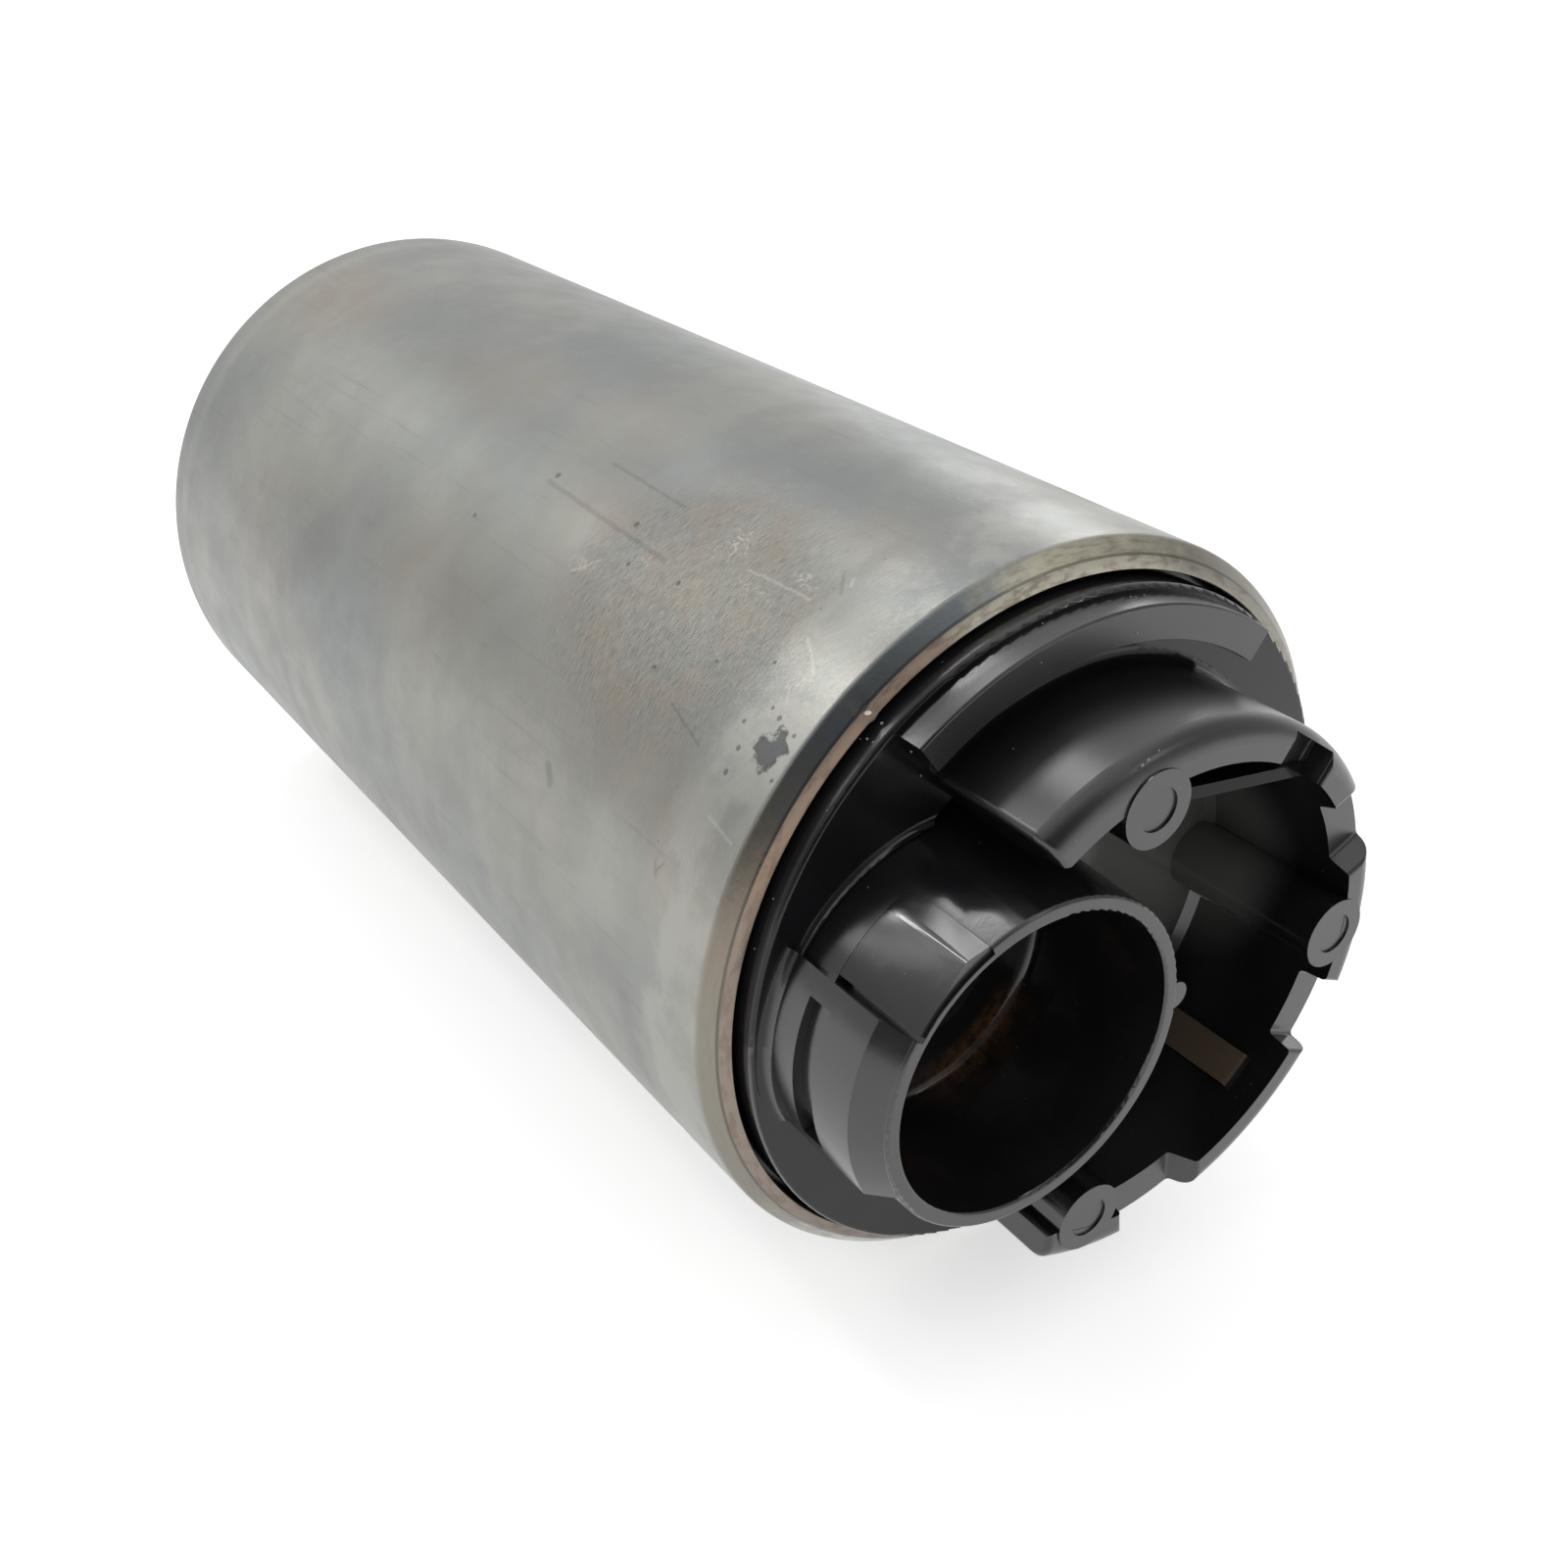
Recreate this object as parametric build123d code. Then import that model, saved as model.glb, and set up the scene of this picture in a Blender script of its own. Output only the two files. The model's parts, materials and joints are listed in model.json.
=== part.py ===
from build123d import *
import os
from math import cos, radians, sin, sqrt

# Electric fuel pump, lying on its side. X is the pump's axis and points to the suction
# end, Z is up, and the origin is on the axis at the middle of the steel barrel.
# Angles turn about +X, from +Y towards +Z. Lengths are millimetres, angles degrees.

# Steel barrel, rolled in at both ends
BARREL_OD = 43.0
BARREL_LENGTH = 81.0
BARREL_WALL = 1.0
LIP_RUN = 1.1
LIP_WALL = 0.6
LIP_KNEE = 0.27
ROLL_MARK_SETBACK = 7.4
ROLL_MARK_WIDTH = 1.2
ROLL_MARK_DEPTH = 0.08

# Clearances, and how far a cut runs past the face it opens
SLIP = 0.05
OVERCUT = 1.0
SHAFT_CLEARANCE = 0.03
RUNNING_GAP = 0.1
SEAL_TOUCH = 0.02

# Suction cap: flange, collar and arc rib
COLLAR_GAP = 0.3
COLLAR_EDGE = 0.25
FLANGE_RISE = 1.1
COLLAR_RELIEF = 1.6
COLLAR_RELIEF_WIDTH = 0.33
SHOULDER_EDGE = 0.2
CAP_FLOOR_DEPTH = 3.2
CAP_RING_WALL = 3.45
CAP_TAIL_DEPTH = 8.2
ARC_RIB_INSET = 0.42
ARC_RIB_WIDTH = 1.85
ARC_RIB_RISE = 2.8
ARC_RIB_EDGE = 0.15
ARC_RIB_ANGLES = (56.0, 129.0)

# Suction cap: castellated skirt
SKIRT_OUTER = 15.7
SKIRT_WALL = 2.1
SKIRT_RISE = 9.2
SKIRT_ANGLES = (-126.0, 128.5)
SKIRT_END_Y = 5.75
SKIRT_END_EDGE = 0.4
SKIRT_LEAD_IN = 1.2
SKIRT_COVE = 0.7
CAVITY_DEPTH = 0.8
CAVITY_COVE = 0.5
NOTCH_ANGLES = ((17.0, 38.0), (-31.5, -14.0), (-90.5, -68.0))
NOTCH_DEPTHS = (1.35, 1.7, 1.7)
NOTCH_RAMPS = ((0.45, 0.8), (0.2, 0.2), (0.2, 0.6))
NOTCH_CORNER = 0.3
POCKET_ANGLES = (50.5, 66.0)
POCKET_DEPTH = 1.6
POCKET_RAMPS = (0.2, 0.7)
POCKET_WALL = 0.5
PAD_RADIUS = 2.07
PAD_INSET = 0.8
PAD_ANGLES = (104.0, 1.0, -104.0)
PAD_PROUD = 0.1
PAD_DIMPLE_RADIUS = 1.18
PAD_DIMPLE_DEPTH = 0.12
WEB_DROP = 1.2
WEB_THICKNESS = 0.7
WEB_INSET = 0.6
WEB_ANGLES = (101.4, 50.4)
STRIP_ANGLE = -43.5
STRIP_SPAN = 9.2
STRIP_DEPTH = 0.5
STRIP_RISE = 7.2

# Suction cap: inlet tube, its snap lug, its flat and its nub
INLET_OFFSET = 8.7
INLET_RISE = 9.5
INLET_RIM_RADIUS = 9.2
INLET_DRAFT = 0.45
INLET_WALL = 0.85
INLET_EDGE = 0.2
INLET_COVE = 0.4
INLET_FLOOR_COVE = 0.6
INLET_PORT_RADIUS = 5.0
LUG_THICKNESS = 0.95
LUG_RAMP_RISE = 7.8
LUG_ANGLES = (150.0, 210.0)
LUG_COVE = 0.6
SLOT_RISES = (3.4, 5.0)
SLOT_ANGLES = (157.0, 204.0)
FLAT_RISE = 3.8
FLAT_CREST_PROUD = 0.29
FLAT_TOE_SUNK = 0.2
FLAT_ANGLES = (124.0, 148.5)
FLAT_RAMP_TURN = 8.0
FLAT_CREST_TURN = 1.5
FLAT_CREST_RUN = 0.17
FLAT_FLUSH = 0.02
FLAT_ROOT_WALL = 0.4
NUB_ANGLE = 4.0
NUB_WIDTH = 1.6
NUB_REACH = 0.85
NUB_LENGTH = 3.0

# Seals between the end covers and the barrel
SEAL_CORD = 1.8
SEAL_GROOVE_WIDTH = 2.3
SUCTION_SEAL_SETBACK = 5.5
OUTLET_SEAL_SETBACK = 5.5

# Pump stage
CHANNEL_RADIUS = 11.0
CHANNEL_SECTION = 1.5
CHANNEL_SWEEP = 315.0
PLATE_PORT_RADIUS = 2.6
PORT_ANGLE = 180.0
BUTTON_LAP = 0.5
BUTTON_THICKNESS = 1.5
BUTTON_INSET = 0.6
IMPELLER_RIM = 1.1
IMPELLER_THICKNESS = 3.0
IMPELLER_GAP = 0.15
VANE_COUNT = 37
VANE_POCKET_WIDTH = 1.1
VANE_LENGTH = 2.6
BALANCE_HOLES = 3
BALANCE_HOLE_RADIUS = 1.0
BALANCE_HOLE_CENTRE = 6.0
HOUSING_DISC = 6.8
HOUSING_RING_WALL = 2.15
HOUSING_RING_LENGTH = 5.5
HOUSING_BOSS_WALL = 2.0
HOUSING_BOSS_LENGTH = 4.5

# Shaft and its bushes
SHAFT_RADIUS = 2.0
SHAFT_FLAT = 0.5
BUSH_RADIUS = 4.0
BUSH_LENGTH = 6.0
SHAFT_HOLE_GAP = 0.6
SHAFT_TAIL = 0.6
BUSH_WELL = 1.5

# Magnets and the clips between them
MAGNET_THICKNESS = 4.4
MAGNET_LENGTH = 38.0
MAGNET_SPAN = 150.0
CLIP_SHEET = 0.5
CLIP_LEG = 3.4

# Armature
AIR_GAP = 0.5
CORE_LENGTH = 26.0
SLOT_COUNT = 8
SLOT_BOTTOM = 6.6
TOOTH_TIP = 1.95
SLOT_SPAN = 28.0
SLOT_MOUTH = 2.2
WINDING_INSET = 0.2
WINDING_SPAN = 26.0
HEAD_CLEARANCE = 0.7
FRONT_HEAD = 3.8
REAR_HEAD = 3.4
HEAD_EDGE = 1.2
SPACER_STEP = 0.4
WASHER_STEP = 0.4
WASHER_THICKNESS = 0.6

# Commutator and brushes
HUB_NECK_RADIUS = 4.5
HUB_RADIUS = 10.8
HUB_THICKNESS = 1.5
SEGMENT_INNER = 4.4
SEGMENT_INSET = 0.2
SEGMENT_THICKNESS = 2.0
SEGMENT_GAP = 0.6
BRUSH_WIDTH = 4.4
BRUSH_HEIGHT = 6.0
BRUSH_LENGTH = 9.0
BRUSH_GAP = 0.05
BRUSH_TRAVEL = 3.0
BOX_WALL = 1.1
BOX_WINDOW = 1.6
BRUSH_SPRING_INSET = 0.6
BRUSH_SPRING_SOLID = 7.25
BRUSH_SPRING_WIRE = 0.25
BRUSH_SPRING_PITCH = 1.4

# Outlet cover
COVER_RING_WALL = 2.85
COVER_RISE = 1.5
COVER_DISC = 5.5
POST_WALL = 1.6
TOWER_MARGIN = 3.3
TOWER_WALL = 2.0
TOWER_LENGTH = 6.5
SPIGOT_RADIUS = 4.0
SPIGOT_LENGTH = 10.5
SPIGOT_WALL = 1.2
SPIGOT_EDGE = 0.6
CONNECTOR_MARGIN = 5.3
CONNECTOR_SIZE = (14.4, 8.4)
CONNECTOR_WALL = 1.2
CONNECTOR_DEPTH = 9.0
CONNECTOR_CORNER = 1.5
LATCH_SIZE = (1.6, 4.0, 0.8)
LATCH_SETBACK = 3.0
TURRET_RISE = 1.2
GUSSET_THICKNESS = 1.2
GUSSET_RISE = 2.4

# Valves in the outlet cover
VALVE_BORE = 4.2
VALVE_SEAT_HOLE = 2.4
VALVE_SEAT_THICKNESS = 2.0
POPPET_LAP = 1.0
POPPET_HEAD = 1.9
POPPET_NOSE = 1.4
POPPET_STEM_RADIUS = 1.2
POPPET_STEM_IN_GUIDE = 0.6
POPPET_TRAVEL = 2.0
VALVE_GUIDE_WALL = 1.0
VALVE_GUIDE_THICKNESS = 1.4
VALVE_SPOKE = 0.9
VALVE_SPOKES = 3
VALVE_SPRING_GAP = 0.9
VALVE_SPRING_SOLID = 3.7
VALVE_SPRING_WIRE = 0.2
VALVE_SPRING_PITCH = 1.1
RELIEF_ANGLE = 36.4
RELIEF_MARGIN = 1.94
RELIEF_TOWER_WALL = 1.1
RELIEF_BORE = 2.3
RELIEF_SEAT_HOLE = 1.2
RELIEF_SEAT_THICKNESS = 1.6
RELIEF_BALL_GAP = 0.4
RELIEF_TRAVEL = 0.9
RELIEF_PLUG_HOLE = 0.9
RELIEF_PLUG_THICKNESS = 1.4
RELIEF_SPRING_INSET = 0.6
RELIEF_SPRING_SOLID = 1.7
RELIEF_SPRING_WIRE = 0.2
RELIEF_SPRING_PITCH = 0.8

# Electrical parts in the outlet cover
TERMINAL_OFFSET = 3.2
TERMINAL_SIZE = (0.8, 2.8)
TERMINAL_REACH = 7.5
TERMINAL_TAIL = 3.5
TERMINAL_POINT = 0.25
CHOKE_GAP = 0.4
CHOKE_ROD_RADIUS = 1.4
CHOKE_ROD_LENGTH = 12.0
CHOKE_WELL = 2.0
CHOKE_COIL_STANDOFF = 1.5
CHOKE_WIRE = 0.33
CHOKE_TURNS = 9
CHOKE_PITCH = 0.95
LEAD_RADIUS = 0.45
LEAD_GAP = 0.15
LEAD_BEND = 1.0
LEAD_SETBACK = 2.25

# Places that follow from the sizes above
BARREL_RADIUS = BARREL_OD / 2
BORE_RADIUS = BARREL_RADIUS - BARREL_WALL
LIP_X = BARREL_LENGTH / 2
LIP_RADIUS = BARREL_RADIUS - LIP_RUN
LIP_EDGE = LIP_WALL / sqrt(2)
LIP_END_RADIUS = LIP_RADIUS - LIP_EDGE + SLIP
LIP_SUM = LIP_X + LIP_RADIUS - LIP_WALL * sqrt(2)
PLUG_RADIUS = BORE_RADIUS - SLIP
COLLAR_RADIUS = LIP_RADIUS - LIP_EDGE - COLLAR_GAP
CAP_RING_BORE = PLUG_RADIUS - CAP_RING_WALL
ARC_RIB_OUTER = COLLAR_RADIUS - ARC_RIB_INSET
ARC_RIB_INNER = ARC_RIB_OUTER - ARC_RIB_WIDTH
SKIRT_INNER = SKIRT_OUTER - SKIRT_WALL
PAD_CENTRE_RADIUS = SKIRT_INNER - PAD_INSET
INLET_BASE_RADIUS = INLET_RIM_RADIUS + INLET_DRAFT
INLET_BORE = INLET_RIM_RADIUS - INLET_WALL
LUG_OUTER = INLET_RIM_RADIUS + LUG_THICKNESS
FLAT_ROOT = INLET_BORE + FLAT_ROOT_WALL
SHOULDER_X = LIP_SUM - SLIP * sqrt(2) - PLUG_RADIUS
FLANGE_X = LIP_X + FLANGE_RISE
CAVITY_FLOOR_X = LIP_X - CAVITY_DEPTH
SKIRT_TOP_X = LIP_X + SKIRT_RISE
RIM_X = LIP_X + INLET_RISE
INLET_Y = -INLET_OFFSET
PLATE_FRONT_X = LIP_X - CAP_FLOOR_DEPTH
HOUSING_FRONT_X = LIP_X - CAP_TAIL_DEPTH
GROOVE_FLOOR = BORE_RADIUS - SEAL_CORD
VANE_TIP = CHANNEL_RADIUS + VANE_LENGTH / 2
IMPELLER_RADIUS = VANE_TIP + IMPELLER_RIM
BUTTON_RADIUS = SHAFT_RADIUS + BUTTON_LAP
SHAFT_HOLE_RADIUS = SHAFT_RADIUS + SHAFT_HOLE_GAP
WASHER_RADIUS = BUSH_RADIUS - WASHER_STEP
SPACER_RADIUS = WASHER_RADIUS - SPACER_STEP
IMPELLER_FRONT_X = HOUSING_FRONT_X - RUNNING_GAP
IMPELLER_REAR_X = IMPELLER_FRONT_X - IMPELLER_THICKNESS
CHAMBER_X = IMPELLER_REAR_X - RUNNING_GAP
HOUSING_REAR_X = HOUSING_FRONT_X - HOUSING_DISC
BOSS_REAR_X = HOUSING_REAR_X - HOUSING_BOSS_LENGTH
MAGNET_FRONT_X = HOUSING_REAR_X - HOUSING_RING_LENGTH
MAGNET_REAR_X = MAGNET_FRONT_X - MAGNET_LENGTH
MAGNET_MIDDLE_X = (MAGNET_FRONT_X + MAGNET_REAR_X) / 2
MAGNET_OUTER = BORE_RADIUS - SLIP
MAGNET_INNER = MAGNET_OUTER - MAGNET_THICKNESS
CORE_RADIUS = MAGNET_INNER - AIR_GAP
SLOT_TOP = CORE_RADIUS - TOOTH_TIP
HEAD_INNER = HUB_NECK_RADIUS + HEAD_CLEARANCE
BUTTON_FACE_X = HOUSING_FRONT_X + BUTTON_INSET
SHAFT_FRONT_X = BUTTON_FACE_X - RUNNING_GAP
CORE_START = MAGNET_MIDDLE_X + CORE_LENGTH / 2
CORE_END = CORE_START - CORE_LENGTH
FRONT_WASHER_X = BOSS_REAR_X - RUNNING_GAP - WASHER_THICKNESS
HUB_X = CORE_END - REAR_HEAD - RUNNING_GAP
SEGMENT_X = HUB_X - HUB_THICKNESS
COMMUTATOR_FACE_X = SEGMENT_X - SEGMENT_THICKNESS
SEGMENT_OUTER = HUB_RADIUS - SEGMENT_INSET
REAR_BUSH_X = COMMUTATOR_FACE_X - RUNNING_GAP - WASHER_THICKNESS - RUNNING_GAP
SHAFT_REAR_X = REAR_BUSH_X - BUSH_LENGTH - SHAFT_TAIL
BRUSH_OFFSET = (SEGMENT_INNER + SEGMENT_OUTER) / 2
BRUSH_FRONT_X = COMMUTATOR_FACE_X - BRUSH_GAP
BRUSH_REAR_X = BRUSH_FRONT_X - BRUSH_LENGTH
BRUSH_SPRING_RADIUS = BRUSH_WIDTH / 2 - BRUSH_SPRING_INSET
SPRING_END_X = BRUSH_REAR_X - BRUSH_TRAVEL - BRUSH_SPRING_SOLID
COVER_FACE_X = -LIP_X - COVER_RISE
COVER_INNER_X = COVER_FACE_X + COVER_DISC
TOWER_END_X = COVER_FACE_X - TOWER_LENGTH
SPIGOT_END_X = TOWER_END_X - SPIGOT_LENGTH
CONNECTOR_END_X = COVER_FACE_X - CONNECTOR_DEPTH
COVER_RING_BORE = PLUG_RADIUS - COVER_RING_WALL
POST_RADIUS = BUSH_RADIUS + POST_WALL
TOWER_RADIUS = VALVE_BORE + TOWER_WALL
TOWER_OFFSET = BORE_RADIUS - TOWER_MARGIN - TOWER_RADIUS
CONNECTOR_OFFSET = BORE_RADIUS - CONNECTOR_MARGIN - CONNECTOR_SIZE[1] / 2
BOX_SIZE = (BRUSH_WIDTH + 2 * (SLIP + BOX_WALL), BRUSH_HEIGHT + 2 * (SLIP + BOX_WALL))
SPIGOT_BORE = SPIGOT_RADIUS - SPIGOT_WALL
VALVE_SEAT_X = COVER_INNER_X - VALVE_SEAT_THICKNESS
POPPET_RADIUS = VALVE_SEAT_HOLE + POPPET_LAP
POPPET_FACE_X = VALVE_SEAT_X - SLIP
POPPET_BACK_X = POPPET_FACE_X - POPPET_HEAD
VALVE_GUIDE_X = POPPET_BACK_X - POPPET_TRAVEL - VALVE_SPRING_SOLID
VALVE_END_X = VALVE_GUIDE_X - VALVE_GUIDE_THICKNESS
VALVE_GUIDE_RADIUS = POPPET_STEM_RADIUS + VALVE_GUIDE_WALL
VALVE_SPRING_RADIUS = POPPET_STEM_RADIUS + VALVE_SPRING_GAP
RELIEF_TOWER = RELIEF_BORE + RELIEF_TOWER_WALL
RELIEF_OFFSET = BORE_RADIUS - RELIEF_MARGIN - RELIEF_TOWER
RELIEF_CENTRE = (RELIEF_OFFSET * cos(radians(RELIEF_ANGLE)), RELIEF_OFFSET * sin(radians(RELIEF_ANGLE)))
RELIEF_BALL_RADIUS = RELIEF_BORE - RELIEF_BALL_GAP
RELIEF_SPRING_RADIUS = RELIEF_BALL_RADIUS - RELIEF_SPRING_INSET
RELIEF_SEAT_X = COVER_INNER_X - RELIEF_SEAT_THICKNESS
RELIEF_BALL_X = RELIEF_SEAT_X - sqrt(RELIEF_BALL_RADIUS ** 2 - RELIEF_SEAT_HOLE ** 2) - SLIP
RELIEF_PLUG_X = RELIEF_BALL_X - RELIEF_BALL_RADIUS - RELIEF_TRAVEL - RELIEF_SPRING_SOLID
RELIEF_END_X = RELIEF_PLUG_X - RELIEF_PLUG_THICKNESS
CHOKE_FRONT_X = COVER_INNER_X + CHOKE_ROD_LENGTH
CHOKE_COIL_LENGTH = CHOKE_TURNS * CHOKE_PITCH
CHOKE_COIL_X = COVER_INNER_X + CHOKE_COIL_STANDOFF
CHOKE_COIL_RADIUS = CHOKE_ROD_RADIUS + CHOKE_WIRE + SLIP
CHOKE_Y = BRUSH_OFFSET + BOX_SIZE[0] / 2 + LEAD_GAP + LEAD_RADIUS
CHOKE_Z = -BOX_SIZE[1] / 2 - CHOKE_GAP - CHOKE_COIL_RADIUS - CHOKE_WIRE


def across(x, y=0.0, z=0.0):
    """A sketch plane square to the pump's axis, with its own x along +Y and y along +Z."""
    return Plane(origin=(x, y, z), x_dir=(0, 1, 0), z_dir=(1, 0, 0))


def polar(radius, angle):
    return radius * cos(radians(angle)), radius * sin(radians(angle))


def rod(radius, x_low, x_high, y=0.0, z=0.0):
    return extrude(across(x_low, y, z) * Circle(radius), amount=x_high - x_low)


def ring(outer, inner, x_low, x_high, y=0.0, z=0.0):
    return rod(outer, x_low, x_high, y, z) - rod(inner, x_low, x_high, y, z)


def bar(x_low, x_high, y, z, width, height):
    """A rectangular bar along X, width along Y and height along Z."""
    return extrude(across(x_low, y, z) * Rectangle(width, height), amount=x_high - x_low)


def outline(*points):
    """A closed face through (x, radius) points."""
    return make_face(Polyline(*points, close=True))


def rounded(face, radius, *corners):
    """Rounds the corners of a face that lie at the given points."""
    picked = [face.vertices().sort_by_distance(Vector(*corner, 0))[0] for corner in corners]
    return fillet(picked, radius)


def cove(x, radius, size):
    """The section of a concave fillet that fills the corner at (x, radius)."""
    bulge = size * (1 - 1 / sqrt(2))
    arc = ThreePointArc((x, radius + size), (x + bulge, radius + bulge), (x + size, radius))
    return make_face([Line((x, radius), (x, radius + size)), arc, Line((x + size, radius), (x, radius))])


def turned(face, low=0.0, high=360.0, y=0.0, z=0.0):
    """Turns a face of (x, radius) points about a line along X, from one angle to another."""
    normal = (0, -sin(radians(low)), cos(radians(low)))
    start = Plane(origin=(0, y, z), x_dir=(1, 0, 0), z_dir=normal)
    return revolve(start * face, axis=Axis((0, y, z), (1, 0, 0)), revolution_arc=high - low)


def sector(inner, outer, low, high, x_low, x_high, y=0.0, z=0.0):
    face = outline((x_low, inner), (x_low, outer), (x_high, outer), (x_high, inner))
    return turned(face, low, high, y, z)


def coil(radius, wire, pitch, x_low, x_high, y, z):
    """A wire wound about a line along X."""
    path = Helix(pitch=pitch, height=x_high - x_low, radius=radius)
    section = Plane(origin=path @ 0, z_dir=path % 0) * Circle(wire)
    return Pos(x_low, y, z) * Rot(0, 90, 0) * sweep(section, path=path, is_frenet=True)


def bent_wire(radius, *points):
    """A wire through the points, with every corner rounded."""
    bends = [LEAD_BEND] * (len(points) - 2)
    path = FilletPolyline(*points, radius=bends)
    return sweep(Plane(origin=path @ 0, z_dir=path % 0) * Circle(radius), path=path)


def barrel_shell():
    """The suction end's lip is a cone and, past its knee, the flatter cut edge of the sheet."""
    lip = outline(
        (-LIP_X, LIP_RADIUS),
        (-LIP_X + LIP_RUN, BARREL_RADIUS),
        (LIP_X - LIP_RUN, BARREL_RADIUS),
        (LIP_X - LIP_KNEE, LIP_RADIUS + LIP_KNEE),
        (LIP_X, LIP_END_RADIUS),
        (LIP_X - LIP_EDGE, LIP_RADIUS - LIP_EDGE),
        (LIP_SUM - BORE_RADIUS, BORE_RADIUS),
        (BORE_RADIUS - LIP_SUM, BORE_RADIUS),
        (LIP_EDGE - LIP_X, LIP_RADIUS - LIP_EDGE),
    )
    lip = rounded(lip, LIP_EDGE, (LIP_X - LIP_RUN, BARREL_RADIUS))
    lip = rounded(lip, LIP_RUN, (-LIP_X + LIP_RUN, BARREL_RADIUS))
    mark_x = LIP_X - ROLL_MARK_SETBACK
    mark = outline(
        (mark_x - ROLL_MARK_WIDTH / 2, BARREL_RADIUS),
        (mark_x, BARREL_RADIUS - ROLL_MARK_DEPTH),
        (mark_x + ROLL_MARK_WIDTH / 2, BARREL_RADIUS),
    )
    return turned(lip) - turned(mark)


def plug_outline(ring_end, ring_bore, floor_x, face_x):
    """Half section of an end cover: ring in the barrel, shoulder under the lip, collar, disc."""
    collar_corner = (face_x, COLLAR_RADIUS)
    face = outline(
        (ring_end, ring_bore),
        (ring_end, PLUG_RADIUS),
        (SHOULDER_X, PLUG_RADIUS),
        (SHOULDER_X + SHOULDER_EDGE, PLUG_RADIUS - SHOULDER_EDGE),
        (LIP_X - COLLAR_RELIEF, COLLAR_RADIUS + COLLAR_RELIEF_WIDTH),
        (LIP_X - COLLAR_RELIEF, COLLAR_RADIUS),
        collar_corner,
        (face_x, 0),
        (floor_x, 0),
        (floor_x, ring_bore),
    )
    return rounded(face, COLLAR_EDGE, collar_corner)


def seal_groove(x):
    return ring(BARREL_RADIUS, GROOVE_FLOOR, x - SEAL_GROOVE_WIDTH / 2, x + SEAL_GROOVE_WIDTH / 2)


def seal(x):
    cord = SEAL_CORD / 2 - SEAL_TOUCH
    return turned(Pos(x, GROOVE_FLOOR + SEAL_CORD / 2) * Circle(cord))


def skirt_section():
    """Section of the skirt's wall, its outer top corner rounded as a lead-in."""
    corner = (SKIRT_TOP_X, SKIRT_OUTER)
    foot = [(CAVITY_FLOOR_X, SKIRT_INNER), (CAVITY_FLOOR_X, SKIRT_OUTER)]
    return rounded(outline(*foot, corner, (SKIRT_TOP_X, SKIRT_INNER)), SKIRT_LEAD_IN, corner)


def rounded_end(wall, end):
    """Rounds the free edges of one of the wall's end faces."""
    edges = end.edges().sort_by(Axis.X)[1:]
    return fillet(edges, SKIRT_END_EDGE)


def notch(angles, depth, ramps, outer):
    """What a notch cuts out of the skirt's top, with sloped sides and rounded corners."""
    low, high = angles
    middle = (SKIRT_INNER + SKIRT_OUTER) / 2
    half = middle * radians(high - low) / 2
    floor = SKIRT_TOP_X - depth
    left, right = -half + ramps[0], half - ramps[1]
    brim = half + 2 * NOTCH_CORNER
    above = SKIRT_TOP_X + OVERCUT
    corners = [(-half, SKIRT_TOP_X), (left, floor), (right, floor), (half, SKIRT_TOP_X)]
    strip = [(brim, SKIRT_TOP_X), (brim, above), (-brim, above), (-brim, SKIRT_TOP_X)]
    face = rounded(outline(*corners, *strip), NOTCH_CORNER, *corners)
    angle = radians((low + high) / 2)
    across_wall = (0, cos(angle), sin(angle))
    start = SKIRT_INNER - OVERCUT
    origin = [start * part for part in across_wall]
    plane = Plane(origin=origin, x_dir=(0, -sin(angle), cos(angle)), z_dir=across_wall)
    return extrude(plane * face, amount=outer - start)


def castellated_skirt():
    """The toothed wall that stands round the inlet side, open towards -Y."""
    wall = turned(skirt_section(), *SKIRT_ANGLES)
    reach = SKIRT_OUTER + OVERCUT
    beyond = bar(CAVITY_FLOOR_X, SKIRT_TOP_X, -SKIRT_END_Y - reach / 2, -reach / 2, reach, reach)
    wall -= beyond
    for upper in (True, False):
        ends = wall.faces().filter_by(GeomType.PLANE)
        ends = [face for face in ends if abs(face.normal_at().X) < 0.5 and (face.center().Z > 0) == upper]
        wall = rounded_end(wall, ends[0])
    skirt = wall + (turned(cove(FLANGE_X, SKIRT_OUTER, SKIRT_COVE), *SKIRT_ANGLES) - beyond)
    for angles, depth, ramps in zip(NOTCH_ANGLES, NOTCH_DEPTHS, NOTCH_RAMPS):
        skirt -= notch(angles, depth, ramps, SKIRT_OUTER + OVERCUT)
    return skirt - notch(POCKET_ANGLES, POCKET_DEPTH, POCKET_RAMPS, SKIRT_OUTER - POCKET_WALL)


def ejector_pads():
    pads = []
    top = SKIRT_TOP_X + PAD_PROUD
    for angle in PAD_ANGLES:
        y, z = polar(PAD_CENTRE_RADIUS, angle)
        pad = rod(PAD_RADIUS, CAVITY_FLOOR_X, top, y, z)
        pads.append(pad - rod(PAD_DIMPLE_RADIUS, top - PAD_DIMPLE_DEPTH, top, y, z))
    return pads


def stiffening_web():
    """A thin straight web between the first pad and the skirt."""
    start = Vector(*polar(PAD_CENTRE_RADIUS - WEB_INSET, WEB_ANGLES[0]), 0)
    end = Vector(*polar(SKIRT_INNER + WEB_THICKNESS / 2, WEB_ANGLES[1]), 0)
    side = (end - start).normalized().rotate(Axis.Z, 90) * (WEB_THICKNESS / 2)
    corners = [start + side, end + side, end - side, start - side]
    face = make_face(Polyline(*corners, close=True))
    return extrude(across(CAVITY_FLOOR_X) * face, amount=SKIRT_RISE + CAVITY_DEPTH - WEB_DROP)


def inlet_tube():
    rim = (RIM_X, INLET_RIM_RADIUS)
    wall = outline((CAVITY_FLOOR_X, 0), (CAVITY_FLOOR_X, INLET_BASE_RADIUS), rim, (RIM_X, 0))
    return turned(rounded(wall, INLET_EDGE, rim), y=INLET_Y)


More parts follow.
